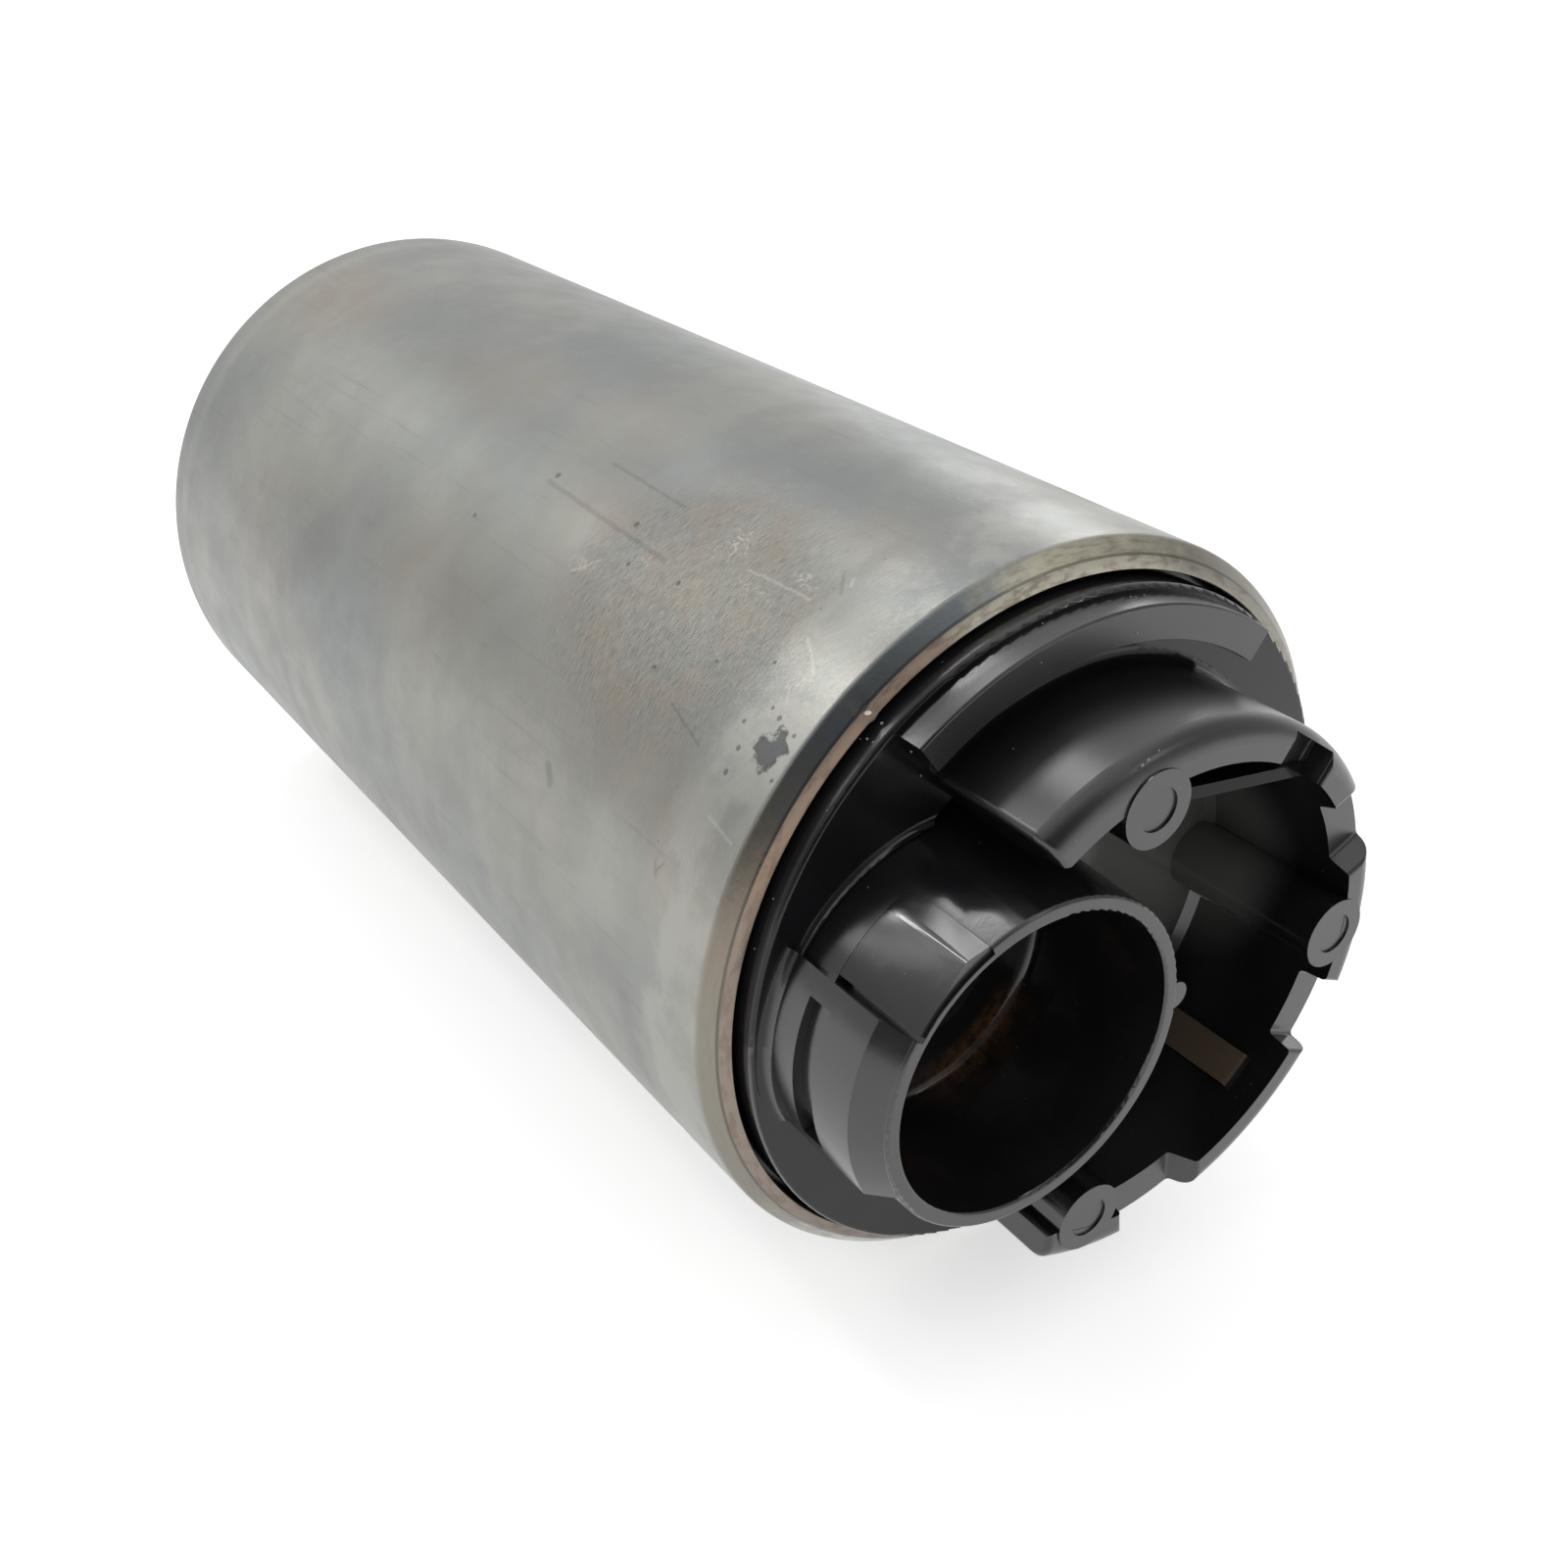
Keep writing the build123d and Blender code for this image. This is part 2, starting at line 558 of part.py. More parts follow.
def inlet_bore():
    """What is cut out of the inlet tube: a blind bore with rounded floor and rim, and a port."""
    floor_corner = (LIP_X, INLET_BORE)
    throat = outline((LIP_X, 0), floor_corner, (RIM_X + OVERCUT, INLET_BORE), (RIM_X + OVERCUT, 0))
    throat = rounded(throat, INLET_FLOOR_COVE, floor_corner)
    bulge = INLET_EDGE / sqrt(2)
    centre = (RIM_X - INLET_EDGE, INLET_BORE + INLET_EDGE)
    arc = ThreePointArc(
        (RIM_X - INLET_EDGE, INLET_BORE),
        (centre[0] + bulge, centre[1] - bulge),
        (RIM_X, INLET_BORE + INLET_EDGE),
    )
    corner = (RIM_X, INLET_BORE)
    flare = make_face([arc, Line((RIM_X, INLET_BORE + INLET_EDGE), corner), Line(corner, arc @ 0)])
    port = rod(INLET_PORT_RADIUS, PLATE_FRONT_X - OVERCUT, LIP_X + OVERCUT, INLET_Y)
    return turned(throat, y=INLET_Y) + turned(flare, y=INLET_Y) + port


def snap_lug():
    """The thick pad on the inlet tube's outer side, with its ramp and its window."""
    low, high = LUG_ANGLES
    wall = outline(
        (FLANGE_X, FLAT_ROOT),
        (FLANGE_X, LUG_OUTER),
        (LIP_X + LUG_RAMP_RISE, LUG_OUTER),
        (RIM_X - INLET_EDGE, INLET_RIM_RADIUS),
        (RIM_X - INLET_EDGE, FLAT_ROOT),
    )
    lug = turned(wall, low, high, INLET_Y) + turned(cove(FLANGE_X, LUG_OUTER, LUG_COVE), low, high, INLET_Y)
    window_x = [LIP_X + rise for rise in SLOT_RISES]
    return lug - sector(INLET_BASE_RADIUS, LUG_OUTER + OVERCUT, *SLOT_ANGLES, *window_x, INLET_Y)


def tube_flat():
    """The slanted flat beside the lug. It leaves the tube flush and rises to a rounded crest."""
    low, high = FLAT_ANGLES
    foot_x, rim_x = LIP_X + FLAT_RISE, RIM_X - INLET_EDGE
    share = (RIM_X - foot_x) / (RIM_X - CAVITY_FLOOR_X)
    foot_radius = INLET_RIM_RADIUS + INLET_DRAFT * share - FLAT_FLUSH
    turns = [low - FLAT_RAMP_TURN, low - FLAT_CREST_TURN, low + FLAT_CREST_TURN, high]
    foot = []
    for start, end in zip(turns, turns[1:]):
        foot.append(ThreePointArc(*[polar(foot_radius, turn) for turn in (start, (start + end) / 2, end)]))
    ramp = Vector(*polar(INLET_RIM_RADIUS - FLAT_FLUSH, turns[0]))
    crest = Vector(*polar(INLET_RIM_RADIUS + FLAT_CREST_PROUD, low))
    toe = Vector(*polar(INLET_RIM_RADIUS - FLAT_TOE_SUNK, high))
    before = crest + (ramp - crest).normalized() * FLAT_CREST_RUN
    after = crest + (toe - crest).normalized() * FLAT_CREST_RUN
    bend = ThreePointArc(before, (before + after + crest * 2) * 0.25, after)
    rim = [Line(ramp, before), bend, Line(after, toe)]
    roots = [polar(FLAT_ROOT, high), polar(FLAT_ROOT, turns[0])]
    sections = []
    for x, top in ((foot_x, foot), (rim_x, rim)):
        sides = [Line(top[-1] @ 1, roots[0]), Line(*roots), Line(roots[1], top[0] @ 0)]
        sections.append(across(x, INLET_Y) * make_face(top + sides))
    return loft(sections, ruled=True)


def rim_nub():
    radius = NUB_WIDTH / 2
    y, z = polar(INLET_RIM_RADIUS + NUB_REACH - radius, NUB_ANGLE)
    top = RIM_X - INLET_EDGE
    return rod(radius, top - NUB_LENGTH, top, INLET_Y + y, z)


def suction_cap():
    cap = turned(plug_outline(HOUSING_FRONT_X, CAP_RING_BORE, PLATE_FRONT_X, FLANGE_X))
    cap -= seal_groove(LIP_X - SUCTION_SEAL_SETBACK)
    rib_top = LIP_X + ARC_RIB_RISE
    rib_corner = (rib_top, ARC_RIB_OUTER)
    foot = [(FLANGE_X, ARC_RIB_INNER), (FLANGE_X, ARC_RIB_OUTER)]
    rib = rounded(outline(*foot, rib_corner, (rib_top, ARC_RIB_INNER)), ARC_RIB_EDGE, rib_corner)
    cap += turned(rib, *ARC_RIB_ANGLES)
    cap += turned(cove(FLANGE_X, INLET_BASE_RADIUS, INLET_COVE), y=INLET_Y)
    cap -= rod(SKIRT_INNER, CAVITY_FLOOR_X, SKIRT_TOP_X + OVERCUT)
    cap += castellated_skirt()
    corner = (CAVITY_FLOOR_X, SKIRT_INNER)
    foot = (CAVITY_FLOOR_X, SKIRT_INNER - CAVITY_COVE)
    cap += turned(outline(corner, foot, (CAVITY_FLOOR_X + CAVITY_COVE, SKIRT_INNER)))
    for pad in ejector_pads():
        cap += pad
    cap += stiffening_web()
    strip = (STRIP_ANGLE - STRIP_SPAN / 2, STRIP_ANGLE + STRIP_SPAN / 2)
    strip_radii = (SKIRT_INNER - STRIP_DEPTH, SKIRT_INNER + STRIP_DEPTH)
    cap += sector(*strip_radii, *strip, CAVITY_FLOOR_X, LIP_X + STRIP_RISE)
    tube = inlet_tube()
    flat_angles = (FLAT_ANGLES[0] - FLAT_RAMP_TURN, LUG_ANGLES[0])
    tube -= sector(FLAT_ROOT, LUG_OUTER + OVERCUT, *flat_angles, LIP_X + FLAT_RISE, RIM_X + OVERCUT, INLET_Y)
    cap += tube + tube_flat() + snap_lug() + rim_nub()
    return cap - inlet_bore()


def inlet_plate():
    plate = rod(CAP_RING_BORE - SLIP, HOUSING_FRONT_X, PLATE_FRONT_X)
    y, z = polar(CHANNEL_RADIUS, PORT_ANGLE)
    plate -= rod(PLATE_PORT_RADIUS, HOUSING_FRONT_X, PLATE_FRONT_X, y, z)
    plate -= side_channel(HOUSING_FRONT_X)
    return plate - rod(BUTTON_RADIUS, HOUSING_FRONT_X, BUTTON_FACE_X + BUTTON_THICKNESS)


def side_channel(x):
    section = Pos(x, CHANNEL_RADIUS) * Circle(CHANNEL_SECTION)
    return turned(section, PORT_ANGLE, PORT_ANGLE + CHANNEL_SWEEP)


def thrust_button():
    return rod(BUTTON_RADIUS, BUTTON_FACE_X, BUTTON_FACE_X + BUTTON_THICKNESS)


def shaft_section(radius):
    """A round section with one flat, which turns the impeller."""
    flat = SHAFT_RADIUS - SHAFT_FLAT + (radius - SHAFT_RADIUS)
    cut = Pos(0, flat + radius) * Rectangle(4 * radius, 2 * radius)
    return Circle(radius) - cut


def impeller():
    disc = rod(IMPELLER_RADIUS, IMPELLER_REAR_X, IMPELLER_FRONT_X)
    pocket = Rectangle(VANE_LENGTH, VANE_POCKET_WIDTH)
    pockets = Sketch() + PolarLocations(CHANNEL_RADIUS, VANE_COUNT) * pocket
    holes = Sketch() + PolarLocations(BALANCE_HOLE_CENTRE, BALANCE_HOLES) * Circle(BALANCE_HOLE_RADIUS)
    bore = shaft_section(SHAFT_RADIUS + SEAL_TOUCH)
    for cut in (pockets, holes, bore):
        disc -= extrude(across(IMPELLER_REAR_X) * cut, amount=IMPELLER_THICKNESS)
    return disc


def pump_housing():
    housing = rod(PLUG_RADIUS, HOUSING_REAR_X, HOUSING_FRONT_X)
    housing += ring(PLUG_RADIUS, PLUG_RADIUS - HOUSING_RING_WALL, MAGNET_FRONT_X, HOUSING_REAR_X)
    housing += rod(BUSH_RADIUS + HOUSING_BOSS_WALL, BOSS_REAR_X, HOUSING_REAR_X)
    housing -= rod(IMPELLER_RADIUS + IMPELLER_GAP, CHAMBER_X, HOUSING_FRONT_X)
    housing -= side_channel(CHAMBER_X)
    y, z = polar(CHANNEL_RADIUS, PORT_ANGLE + CHANNEL_SWEEP)
    housing -= rod(PLATE_PORT_RADIUS, HOUSING_REAR_X, CHAMBER_X, y, z)
    housing -= rod(BUSH_RADIUS, BOSS_REAR_X, BOSS_REAR_X + BUSH_LENGTH)
    return housing - rod(SHAFT_HOLE_RADIUS, BOSS_REAR_X, CHAMBER_X)


def shaft_bush(x_low):
    return ring(BUSH_RADIUS, SHAFT_RADIUS + SHAFT_CLEARANCE, x_low, x_low + BUSH_LENGTH)


def rotor_shaft():
    shaft = rod(SHAFT_RADIUS, SHAFT_REAR_X, IMPELLER_REAR_X)
    section = across(IMPELLER_REAR_X) * shaft_section(SHAFT_RADIUS)
    return shaft + extrude(section, amount=SHAFT_FRONT_X - IMPELLER_REAR_X)


def slot_angles():
    return [index * 360 / SLOT_COUNT for index in range(SLOT_COUNT)]


def armature_core():
    core = ring(CORE_RADIUS, SHAFT_RADIUS, CORE_END, CORE_START)
    for angle in slot_angles():
        half = SLOT_SPAN / 2
        slot = sector(SLOT_BOTTOM, SLOT_TOP, angle - half, angle + half, CORE_END, CORE_START)
        mouth_width = 2 * (TOOTH_TIP + OVERCUT)
        mouth = Rot(angle, 0, 0) * bar(CORE_END, CORE_START, SLOT_TOP, 0, mouth_width, SLOT_MOUTH)
        core -= slot + mouth
    return core


def winding_head(x_low, x_high, open_x):
    """One ring of end turns, rounded on its free side."""
    corners = [(open_x, HEAD_INNER), (open_x, SLOT_TOP)]
    head = outline((x_low, HEAD_INNER), (x_low, SLOT_TOP), (x_high, SLOT_TOP), (x_high, HEAD_INNER))
    return turned(rounded(head, HEAD_EDGE, *corners))


def armature_windings():
    front = CORE_START + FRONT_HEAD
    rear = CORE_END - REAR_HEAD
    windings = winding_head(CORE_START, front, front) + winding_head(rear, CORE_END, rear)
    radii = (SLOT_BOTTOM + WINDING_INSET, SLOT_TOP - WINDING_INSET)
    half = WINDING_SPAN / 2
    for angle in slot_angles():
        windings += sector(*radii, angle - half, angle + half, CORE_END, CORE_START)
    return windings


def front_spacer():
    return ring(SPACER_RADIUS, SHAFT_RADIUS, CORE_START, FRONT_WASHER_X)


def thrust_washers():
    front = ring(WASHER_RADIUS, SHAFT_RADIUS, FRONT_WASHER_X, FRONT_WASHER_X + WASHER_THICKNESS)
    rear_x = REAR_BUSH_X + RUNNING_GAP
    return front + ring(WASHER_RADIUS, SHAFT_RADIUS, rear_x, rear_x + WASHER_THICKNESS)


def commutator_hub():
    neck = ring(HUB_NECK_RADIUS, SHAFT_RADIUS, HUB_X, CORE_END)
    disc = ring(HUB_RADIUS, SHAFT_RADIUS, SEGMENT_X, HUB_X)
    return neck + disc + ring(WASHER_RADIUS, SHAFT_RADIUS, COMMUTATOR_FACE_X, SEGMENT_X)


def commutator_segments():
    """Copper segments on the hub's face, one for each slot, with a gap between neighbours."""
    segments = ring(SEGMENT_OUTER, SEGMENT_INNER, COMMUTATOR_FACE_X, SEGMENT_X)
    for angle in slot_angles():
        gap = bar(COMMUTATOR_FACE_X, SEGMENT_X, SEGMENT_OUTER, 0, 2 * SEGMENT_OUTER, SEGMENT_GAP)
        segments -= Rot(angle, 0, 0) * gap
    return segments


def magnet(middle):
    half = MAGNET_SPAN / 2
    return sector(MAGNET_INNER, MAGNET_OUTER, middle - half, middle + half, MAGNET_REAR_X, MAGNET_FRONT_X)


def magnet_clip(middle):
    """A spring-steel channel that pushes the magnets apart and against the barrel."""
    half = (360 - 2 * MAGNET_SPAN) / 4
    length = (MAGNET_REAR_X, MAGNET_FRONT_X)
    clip = sector(MAGNET_OUTER - CLIP_SHEET, MAGNET_OUTER, middle - half, middle + half, *length)
    for side in (-1, 1):
        y = MAGNET_OUTER - CLIP_LEG / 2 - SLIP
        leg = bar(*length, y, -side * (CLIP_SHEET / 2 + SLIP), CLIP_LEG, CLIP_SHEET)
        clip += Rot(middle + side * half, 0, 0) * leg
    return clip


def outlet_cover():
    face = plug_outline(-MAGNET_REAR_X, COVER_RING_BORE, -COVER_INNER_X, -COVER_FACE_X)
    cover = mirror(turned(face), about=Plane.YZ)
    cover -= seal_groove(-LIP_X + OUTLET_SEAL_SETBACK)
    cover += rod(POST_RADIUS, COVER_INNER_X, REAR_BUSH_X)
    for side in (-1, 1):
        cover += bar(COVER_INNER_X, REAR_BUSH_X, side * BRUSH_OFFSET, 0, *BOX_SIZE)
        turret_x = COVER_FACE_X - TURRET_RISE
        cover += bar(turret_x, COVER_FACE_X, side * BRUSH_OFFSET, 0, *BOX_SIZE)
    cover += rod(TOWER_RADIUS, TOWER_END_X, COVER_FACE_X, 0, TOWER_OFFSET)
    cover += outlet_spigot()
    cover += rod(RELIEF_TOWER, RELIEF_END_X, COVER_FACE_X, *RELIEF_CENTRE)
    cover += connector_shroud()
    for side in (-1, 1):
        gusset_z = (TOWER_OFFSET - CONNECTOR_OFFSET) / 2
        height = TOWER_OFFSET + CONNECTOR_OFFSET - TOWER_RADIUS - CONNECTOR_SIZE[1] / 2
        y = side * (POST_RADIUS - GUSSET_THICKNESS) / 2
        cover += bar(COVER_FACE_X - GUSSET_RISE, COVER_FACE_X, y, gusset_z, GUSSET_THICKNESS, height)
    return cover - cover_cavities()


def outlet_spigot():
    tip = (SPIGOT_END_X, SPIGOT_RADIUS)
    face = outline((SPIGOT_END_X, 0), tip, (TOWER_END_X, SPIGOT_RADIUS), (TOWER_END_X, 0))
    return turned(rounded(face, SPIGOT_EDGE, tip), z=TOWER_OFFSET)


def connector_shroud():
    width, height = CONNECTOR_SIZE
    inner = (width - 2 * CONNECTOR_WALL, height - 2 * CONNECTOR_WALL)
    section = RectangleRounded(width, height, CONNECTOR_CORNER)
    section -= RectangleRounded(*inner, CONNECTOR_CORNER - CONNECTOR_WALL / 2)
    shroud = extrude(across(CONNECTOR_END_X, 0, -CONNECTOR_OFFSET) * section, amount=CONNECTOR_DEPTH)
    length, across_latch, rise = LATCH_SIZE
    latch_x = CONNECTOR_END_X + LATCH_SETBACK
    latch_z = -CONNECTOR_OFFSET - height / 2 - rise / 2
    return shroud + bar(latch_x, latch_x + length, 0, latch_z, across_latch, rise)


def cover_cavities():
    """Everything that is cut out of the outlet cover."""
    seat = rod(BUSH_RADIUS, REAR_BUSH_X - BUSH_LENGTH, REAR_BUSH_X)
    well_x = SHAFT_REAR_X - BUSH_WELL
    cavities = [seat, rod(SHAFT_HOLE_RADIUS, well_x, REAR_BUSH_X)]
    depth = (COVER_FACE_X, COVER_INNER_X)
    for side in (-1, 1):
        y = side * BRUSH_OFFSET
        cavities.append(bar(SPRING_END_X, REAR_BUSH_X, y, 0, BRUSH_WIDTH + 2 * SLIP, BRUSH_HEIGHT + 2 * SLIP))
        window_y = side * (BRUSH_OFFSET + BRUSH_WIDTH / 2 + BOX_WALL)
        window = (BRUSH_REAR_X - BRUSH_TRAVEL, REAR_BUSH_X)
        cavities.append(bar(*window, window_y, 0, 2 * BOX_WALL + OVERCUT, BOX_WINDOW))
        well = (COVER_INNER_X - CHOKE_WELL, COVER_INNER_X)
        cavities.append(rod(CHOKE_ROD_RADIUS + SLIP, *well, side * CHOKE_Y, CHOKE_Z))
        cavities.append(bar(*depth, side * TERMINAL_OFFSET, -CONNECTOR_OFFSET, *TERMINAL_SIZE))
    cavities.append(rod(VALVE_BORE, VALVE_END_X, COVER_INNER_X, 0, TOWER_OFFSET))
    cavities.append(rod(SPIGOT_BORE, SPIGOT_END_X, VALVE_END_X, 0, TOWER_OFFSET))
    cavities.append(rod(RELIEF_BORE, RELIEF_END_X, COVER_INNER_X, *RELIEF_CENTRE))
    return Compound(cavities)


def brush(side):
    return bar(BRUSH_REAR_X, BRUSH_FRONT_X, side * BRUSH_OFFSET, 0, BRUSH_WIDTH, BRUSH_HEIGHT)


def brush_spring(side):
    ends = (SPRING_END_X + BRUSH_SPRING_WIRE + SLIP, BRUSH_REAR_X - BRUSH_SPRING_WIRE - SLIP)
    return coil(BRUSH_SPRING_RADIUS, BRUSH_SPRING_WIRE, BRUSH_SPRING_PITCH, *ends, side * BRUSH_OFFSET, 0)


def brush_lead(side):
    """Copper lead from the brush, out through its box's window, to the choke."""
    start_y = side * (BRUSH_OFFSET + BRUSH_WIDTH / 2)
    x = BRUSH_REAR_X + LEAD_SETBACK
    end_z = CHOKE_Z + CHOKE_COIL_RADIUS + CHOKE_WIRE + LEAD_RADIUS
    return bent_wire(LEAD_RADIUS, (x, start_y, 0), (x, side * CHOKE_Y, 0), (x, side * CHOKE_Y, end_z))


def choke_lead(side):
    """Straight copper lead from the choke to the tail of its terminal."""
    x = COVER_INNER_X + LEAD_RADIUS + SLIP
    choke = Vector(x, side * CHOKE_Y, CHOKE_Z)
    tail = Vector(x, side * (TERMINAL_OFFSET + TERMINAL_SIZE[0] / 2), -CONNECTOR_OFFSET)
    way = (tail - choke).normalized()
    start = choke + way * (CHOKE_ROD_RADIUS + SLIP)
    length = (tail - start).length - LEAD_RADIUS
    return extrude(Plane(origin=start, z_dir=way) * Circle(LEAD_RADIUS), amount=length)


def choke_core(side):
    well_x = COVER_INNER_X - CHOKE_WELL
    return rod(CHOKE_ROD_RADIUS, well_x, CHOKE_FRONT_X, side * CHOKE_Y, CHOKE_Z)


def choke_coil(side):
    ends = (CHOKE_COIL_X, CHOKE_COIL_X + CHOKE_COIL_LENGTH)
    return coil(CHOKE_COIL_RADIUS, CHOKE_WIRE, CHOKE_PITCH, *ends, side * CHOKE_Y, CHOKE_Z)


def terminal(side):
    ends = (COVER_FACE_X - TERMINAL_REACH, COVER_INNER_X + TERMINAL_TAIL)
    blade = bar(*ends, side * TERMINAL_OFFSET, -CONNECTOR_OFFSET, *TERMINAL_SIZE)
    tip = blade.faces().sort_by(Axis.X)[0]
    return chamfer(tip.edges(), TERMINAL_POINT)


def check_valve_seat():
    x = (VALVE_SEAT_X, COVER_INNER_X)
    return ring(VALVE_BORE, VALVE_SEAT_HOLE, *x, 0, TOWER_OFFSET)


def check_valve_poppet():
    nose_x = POPPET_FACE_X + POPPET_NOSE
    stem_x = VALVE_GUIDE_X - POPPET_STEM_IN_GUIDE
    face = outline(
        (nose_x, 0),
        (nose_x, VALVE_SEAT_HOLE / 2),
        (POPPET_FACE_X, VALVE_SEAT_HOLE - SLIP),
        (POPPET_FACE_X, POPPET_RADIUS),
        (POPPET_BACK_X, POPPET_RADIUS),
        (POPPET_BACK_X, POPPET_STEM_RADIUS),
        (stem_x, POPPET_STEM_RADIUS),
        (stem_x, 0),
    )
    return turned(face, z=TOWER_OFFSET)


def check_valve_spring():
    ends = (VALVE_GUIDE_X + VALVE_SPRING_WIRE + SLIP, POPPET_BACK_X - VALVE_SPRING_WIRE - SLIP)
    return coil(VALVE_SPRING_RADIUS, VALVE_SPRING_WIRE, VALVE_SPRING_PITCH, *ends, 0, TOWER_OFFSET)


def check_valve_guide():
    """The spoked ring at the end of the valve bore, which guides the poppet's stem."""
    x = (VALVE_END_X, VALVE_GUIDE_X)
    guide = ring(VALVE_BORE, VALVE_BORE - VALVE_SPOKE, *x, 0, TOWER_OFFSET)
    hub = rod(VALVE_GUIDE_RADIUS, *x, 0, TOWER_OFFSET)
    reach = VALVE_BORE - VALVE_SPOKE / 2
    for index in range(VALVE_SPOKES):
        spoke = bar(*x, reach / 2, 0, reach, VALVE_SPOKE)
        hub += Pos(0, 0, TOWER_OFFSET) * Rot(index * 360 / VALVE_SPOKES, 0, 0) * spoke
    return guide + hub - rod(POPPET_STEM_RADIUS + SLIP, *x, 0, TOWER_OFFSET)


def relief_valve_seat():
    return ring(RELIEF_BORE, RELIEF_SEAT_HOLE, RELIEF_SEAT_X, COVER_INNER_X, *RELIEF_CENTRE)


def relief_valve_ball():
    return Pos(RELIEF_BALL_X, *RELIEF_CENTRE) * Sphere(RELIEF_BALL_RADIUS)


def relief_valve_spring():
    clear = sqrt(RELIEF_BALL_RADIUS ** 2 - RELIEF_SPRING_RADIUS ** 2) + RELIEF_SPRING_WIRE + SLIP
    ends = (RELIEF_PLUG_X + RELIEF_SPRING_WIRE + SLIP, RELIEF_BALL_X - clear)
    return coil(RELIEF_SPRING_RADIUS, RELIEF_SPRING_WIRE, RELIEF_SPRING_PITCH, *ends, *RELIEF_CENTRE)


def relief_valve_plug():
    return ring(RELIEF_BORE, RELIEF_PLUG_HOLE, RELIEF_END_X, RELIEF_PLUG_X, *RELIEF_CENTRE)


parts = {
    "barrel_shell": barrel_shell(),
    "suction_cap": suction_cap(),
    "suction_seal": seal(LIP_X - SUCTION_SEAL_SETBACK),
    "inlet_plate": inlet_plate(),
    "thrust_button": thrust_button(),
    "impeller": impeller(),
    "pump_housing": pump_housing(),
    "front_bush": shaft_bush(BOSS_REAR_X),
    "rear_bush": shaft_bush(REAR_BUSH_X - BUSH_LENGTH),
    "rotor_shaft": rotor_shaft(),
    "armature_core": armature_core(),
    "armature_windings": armature_windings(),
    "front_spacer": front_spacer(),
    "thrust_washers": thrust_washers(),
    "commutator_hub": commutator_hub(),
    "commutator_segments": commutator_segments(),
    "magnet_upper": magnet(90),
    "magnet_lower": magnet(270),
    "magnet_clips": magnet_clip(0) + magnet_clip(180),
    "outlet_cover": outlet_cover(),
    "outlet_seal": seal(-LIP_X + OUTLET_SEAL_SETBACK),
    "check_valve_seat": check_valve_seat(),
    "check_valve_poppet": check_valve_poppet(),
    "check_valve_spring": check_valve_spring(),
    "check_valve_guide": check_valve_guide(),
    "relief_valve_seat": relief_valve_seat(),
    "relief_valve_ball": relief_valve_ball(),
    "relief_valve_spring": relief_valve_spring(),
    "relief_valve_plug": relief_valve_plug(),
}
for side, name in ((-1, "left"), (1, "right")):
    parts["brush_" + name] = brush(side)
    parts["brush_spring_" + name] = brush_spring(side)
    parts["brush_lead_" + name] = brush_lead(side)
    parts["choke_core_" + name] = choke_core(side)
    parts["choke_coil_" + name] = choke_coil(side)
    parts["choke_lead_" + name] = choke_lead(side)
    parts["terminal_" + name] = terminal(side)

os.makedirs("parts", exist_ok=True)
for name, shape in parts.items():
    export_step(shape, f"parts/{name}.step")
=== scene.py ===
import json
from math import cos, degrees, exp, pi, radians, sin, sqrt
from random import Random

import bmesh
import bpy
from mathutils import Matrix, Vector


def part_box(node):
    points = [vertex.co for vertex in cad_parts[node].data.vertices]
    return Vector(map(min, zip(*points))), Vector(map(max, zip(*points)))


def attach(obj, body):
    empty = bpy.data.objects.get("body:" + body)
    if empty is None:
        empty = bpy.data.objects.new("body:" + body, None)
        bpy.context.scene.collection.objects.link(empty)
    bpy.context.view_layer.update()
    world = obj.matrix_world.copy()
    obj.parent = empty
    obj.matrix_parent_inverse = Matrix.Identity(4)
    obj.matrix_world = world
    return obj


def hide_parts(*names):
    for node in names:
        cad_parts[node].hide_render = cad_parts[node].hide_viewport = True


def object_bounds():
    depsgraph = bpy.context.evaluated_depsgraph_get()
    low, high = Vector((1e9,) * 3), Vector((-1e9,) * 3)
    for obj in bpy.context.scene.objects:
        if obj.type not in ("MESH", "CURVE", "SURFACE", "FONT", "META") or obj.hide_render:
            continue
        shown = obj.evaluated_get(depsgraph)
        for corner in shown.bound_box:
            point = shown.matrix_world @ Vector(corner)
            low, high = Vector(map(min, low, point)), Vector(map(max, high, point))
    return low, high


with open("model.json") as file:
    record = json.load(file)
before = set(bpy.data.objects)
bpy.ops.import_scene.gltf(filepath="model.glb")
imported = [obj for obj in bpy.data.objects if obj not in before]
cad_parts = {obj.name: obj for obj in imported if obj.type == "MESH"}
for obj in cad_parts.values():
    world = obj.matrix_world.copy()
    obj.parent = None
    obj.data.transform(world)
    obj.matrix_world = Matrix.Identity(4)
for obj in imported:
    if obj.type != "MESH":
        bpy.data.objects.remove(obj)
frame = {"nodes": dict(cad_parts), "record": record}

# Electric fuel pump lying on its side. X is its axis and points to the suction end, Z is up.
# Blender works in metres. Sizes here are millimetres and pass through MM, except on the stage.
# Angles round the pump are in degrees about +X, from +Y towards +Z.
MM = 0.001
CAD_BOX = [list(corner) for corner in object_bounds()]


# The photograph's camera
IMAGE_SIZE = 1600
FOCAL_PIXELS = 1742.67
SENSOR_WIDTH = 36.0
PRINCIPAL_POINT = (783.9, 855.9)
CAMERA_PLACE = (95.51, -57.51, 50.0)
CAMERA_TURN = (59.82, -2.056, 55.781)


